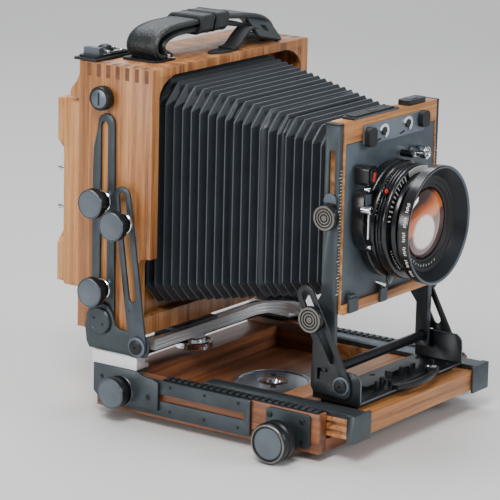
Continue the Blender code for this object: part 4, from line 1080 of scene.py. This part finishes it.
def carrying_strap():
    base = FRAME_TOP + 0.6
    middle = 70.0
    upper = smooth_path([(x, middle, base + z) for x, z in (
        (-50.0, 1.4), (-56.4, 3.6), (-58.6, 8.5), (-55.5, 14.0), (-48.0, 17.2), (-38.0, 18.6),
        (-26.0, 19.0), (-12.0, 19.4), (2.0, 19.6), (14.0, 19.0), (28.0, 17.6), (42.0, 16.4),
        (54.0, 13.6), (62.5, 8.6), (64.0, 3.0))], 130)
    lower = smooth_path([(x, middle, base + z) for x, z in (
        (-42.0, 2.0), (-48.4, 4.4), (-50.4, 8.4), (-46.4, 12.0), (-38.0, 14.2), (-26.0, 14.8),
        (-12.0, 15.2), (2.0, 15.4), (14.0, 14.8), (26.0, 13.2), (36.0, 10.8))], 100)
    bm = bmesh.new()
    sweep(bm, upper, strap_ring(23.0, 2.8))
    sweep(bm, lower, strap_ring(22.0, 2.6))
    for edge in (-9.9, 9.9):
        stitches(bm, upper, edge, 1.62, 1)
        stitches(bm, lower, edge, -1.5, 1)
    piece("carrying_strap", bm, "rear_standard", [STRAP, THREAD], smooth=50,
          replaces=["strap"])

    bm = bmesh.new()
    for x, half, lean in ((-10.0, 6.8, 0.10), (6.0, 6.6, 0.14)):
        part = bmesh.new()
        outer = rounded((middle - 13.2, middle + 13.2), (base + 11.6, base + 22.7), 3.4)
        inner = rounded((middle - 12.0, middle + 12.0), (base + 12.9, base + 21.4), 2.4)
        prism(part, "X", x - half, x + half, outer, [inner])
        for vert in part.verts:
            vert.co.x += (vert.co.z - base - 17) * lean * 3
        merge(bm, part, 0)
    for x in (-15.4, -4.6, 1.0, 11.2):
        ridge = bmesh.new()
        prism(ridge, "X", x - 0.5, x + 0.5,
              rounded((middle - 13.5, middle + 13.5), (base + 11.3, base + 23.0), 3.6),
              [rounded((middle - 13.0, middle + 13.0), (base + 11.8, base + 22.5), 3.2)])
        for vert in ridge.verts:
            vert.co.x += (vert.co.z - base - 17) * 0.36
        merge(bm, ridge, 0)
    piece("strap_keepers", bm, "rear_standard", [STRAP], 0.5)

    bm = bmesh.new()
    prism(bm, "Z", FRAME_TOP - 0.1, FRAME_TOP + 1.5, rounded((-62.5, -41.0), (56.5, 83.0), 3.0), mat=2)
    prism(bm, "Z", FRAME_TOP - 0.1, FRAME_TOP + 1.5, rounded((52.0, 72.0), (57.5, 82.5), 3.0), mat=2)
    for y in (58.2, 81.4):
        for x in (-44.5, 56.0):
            screw(bm, "Z", (x, y), FRAME_TOP + 1.4, 1, 1.9, 0.7, 1, 0)
    for x in (-49.0, 62.0):
        lathe(bm, "Y", (x, FRAME_TOP + 3.1), [(0, 56.8), (1.4, 56.8), (1.4, 83.0), (0, 83.0)], mats=1,
              steps=24)
    piece("strap_lugs", bm, "rear_standard", [STEEL, CHROME, BLACK], 0.3)

    bm = bmesh.new()
    plate = bmesh.new()
    prism(plate, "Z", 0, 1.4, rounded((-13.0, 13.0), (-8.4, 8.4), 2.2),
          [rounded((-2.6, 3.4), (-2.4, 2.4), 0.5)])
    prism(plate, "Z", -1.6, 0.1, rounded((-12.4, 12.4), (-7.8, 7.8), 1.8), mat=1)
    tilt = Matrix.Translation((47.0, 54.5, FRAME_TOP + 8.4)) @ Matrix.Rotation(
        radians(12), 4, "Y") @ Matrix.Rotation(radians(42), 4, "X")
    bmesh.ops.transform(plate, matrix=tilt, verts=plate.verts[:])
    merge(bm, plate)
    tongue = smooth_path([(38.0, 57.5, FRAME_TOP + 10.0), (31.0, 57.0, FRAME_TOP + 11.0),
                          (22.0, 55.8, FRAME_TOP + 7.2), (13.0, 54.4, FRAME_TOP + 2.4),
                          (5.0, 53.6, FRAME_TOP + 1.5)], 30)
    sweep(bm, tongue, [(-5.5, -0.7), (5.5, -0.7), (5.5, 0.7), (-5.5, 0.7)], 1)
    piece("strap_buckle", bm, "rear_standard", [STEEL, MATT], 0.25)


# ---------------------------------------------------------------- stage, light and view
def stage():
    bm = bmesh.new()
    """Pale floor that curves up into a wall behind the object, as the view looks at it."""
    size, back, high, bend = 3.0, 2.2, 2.4, 0.8
    profile = [(-size, 0.0), (back - bend, 0.0)] + [
        (back - bend + bend * sin(t), bend - bend * cos(t)) for t in [0.157 * i for i in range(1, 11)]
    ] + [(back, high)]
    turn = Matrix.Rotation(radians(-55.3), 3, "Z")
    rows = []
    for side in (-size, size):
        rows.append([bm.verts.new(turn @ Vector((side, y, z))) for y, z in profile])
    for i in range(len(profile) - 1):
        bm.faces.new((rows[0][i], rows[0][i + 1], rows[1][i + 1], rows[1][i]))
    mesh = bpy.data.meshes.new("floor")
    bm.to_mesh(mesh)
    bm.free()
    mesh.polygons.foreach_set("use_smooth", [True] * len(mesh.polygons))
    floor = bpy.data.objects.new("floor", mesh)
    bpy.context.scene.collection.objects.link(floor)
    mesh.materials.append(paint("pale_floor", (0.72, 0.72, 0.72), 0.8))


def aim(obj, target):
    obj.rotation_euler = (Vector(target) - obj.location).to_track_quat("-Z", "Y").to_euler()


def light(name, place, target, size, power, colour):
    data = bpy.data.lights.new(name, "AREA")
    data.shape = "RECTANGLE"
    data.size, data.size_y = size
    data.energy = power
    data.color = colour
    obj = bpy.data.objects.new(name, data)
    obj.location = place
    bpy.context.scene.collection.objects.link(obj)
    aim(obj, target)


def lights():
    middle = (0.0, 0.0, 0.12)
    light("key", (-1.2, -0.5, 1.6), middle, (0.7, 0.7), 33.0, (1.0, 0.98, 0.95))
    light("front", (0.5, -1.7, 0.9), middle, (0.7, 0.5), 15.0, (0.94, 0.97, 1.0))
    light("side", (-1.6, 0.6, 0.5), middle, (0.6, 0.4), 9.0, (1.0, 0.98, 0.96))
    light("top", (0.2, 0.5, 1.7), middle, (1.0, 0.6), 16.0, (1.0, 1.0, 1.0))
    light("back", (1.05, 1.05, 1.25), middle, (0.8, 0.4), 5.0, (0.92, 0.96, 1.0))
    world = bpy.data.worlds.new("studio")
    world.use_nodes = True
    background = world.node_tree.nodes["Background"]
    background.inputs["Color"].default_value = (0.86, 0.88, 0.90, 1.0)
    background.inputs["Strength"].default_value = 0.36
    bpy.context.scene.world = world


SENSOR_WIDTH, FOCAL_LENGTH = 36.0, 203.2704
VIEW_TURN = (-55.34, 13.61, 1.34)
VIEW_PLACE = (-1404.36, -942.90, 504.00)


def camera():
    """Aims by azimuth, elevation and roll in degrees, from a place in millimetres."""
    azimuth, elevation, roll = (radians(angle) for angle in VIEW_TURN)
    back = Vector((sin(azimuth) * cos(elevation), -cos(azimuth) * cos(elevation), sin(elevation)))
    right = Vector((cos(azimuth), sin(azimuth), 0))
    up = back.cross(right)
    turned_right = right * cos(roll) + up * sin(roll)
    turned_up = up * cos(roll) - right * sin(roll)
    data = bpy.data.cameras.new("view")
    data.sensor_width = SENSOR_WIDTH
    data.lens = FOCAL_LENGTH
    obj = bpy.data.objects.new("view", data)
    rotation = Matrix((turned_right, turned_up, back)).transposed().to_4x4()
    obj.matrix_world = Matrix.Translation((Vector(VIEW_PLACE) + Vector((0, 0, BED_Z))) * MM) @ rotation
    bpy.context.scene.collection.objects.link(obj)
    bpy.context.scene.camera = obj


dress_parts()
bed_detail()
focus_knobs()
lock_knobs()
rear_knobs()
front_detail()
lens_frame_detail()
lens()
bellows()
carriage_detail()
frame_detail()
carrying_strap()
stage()
lights()
camera()
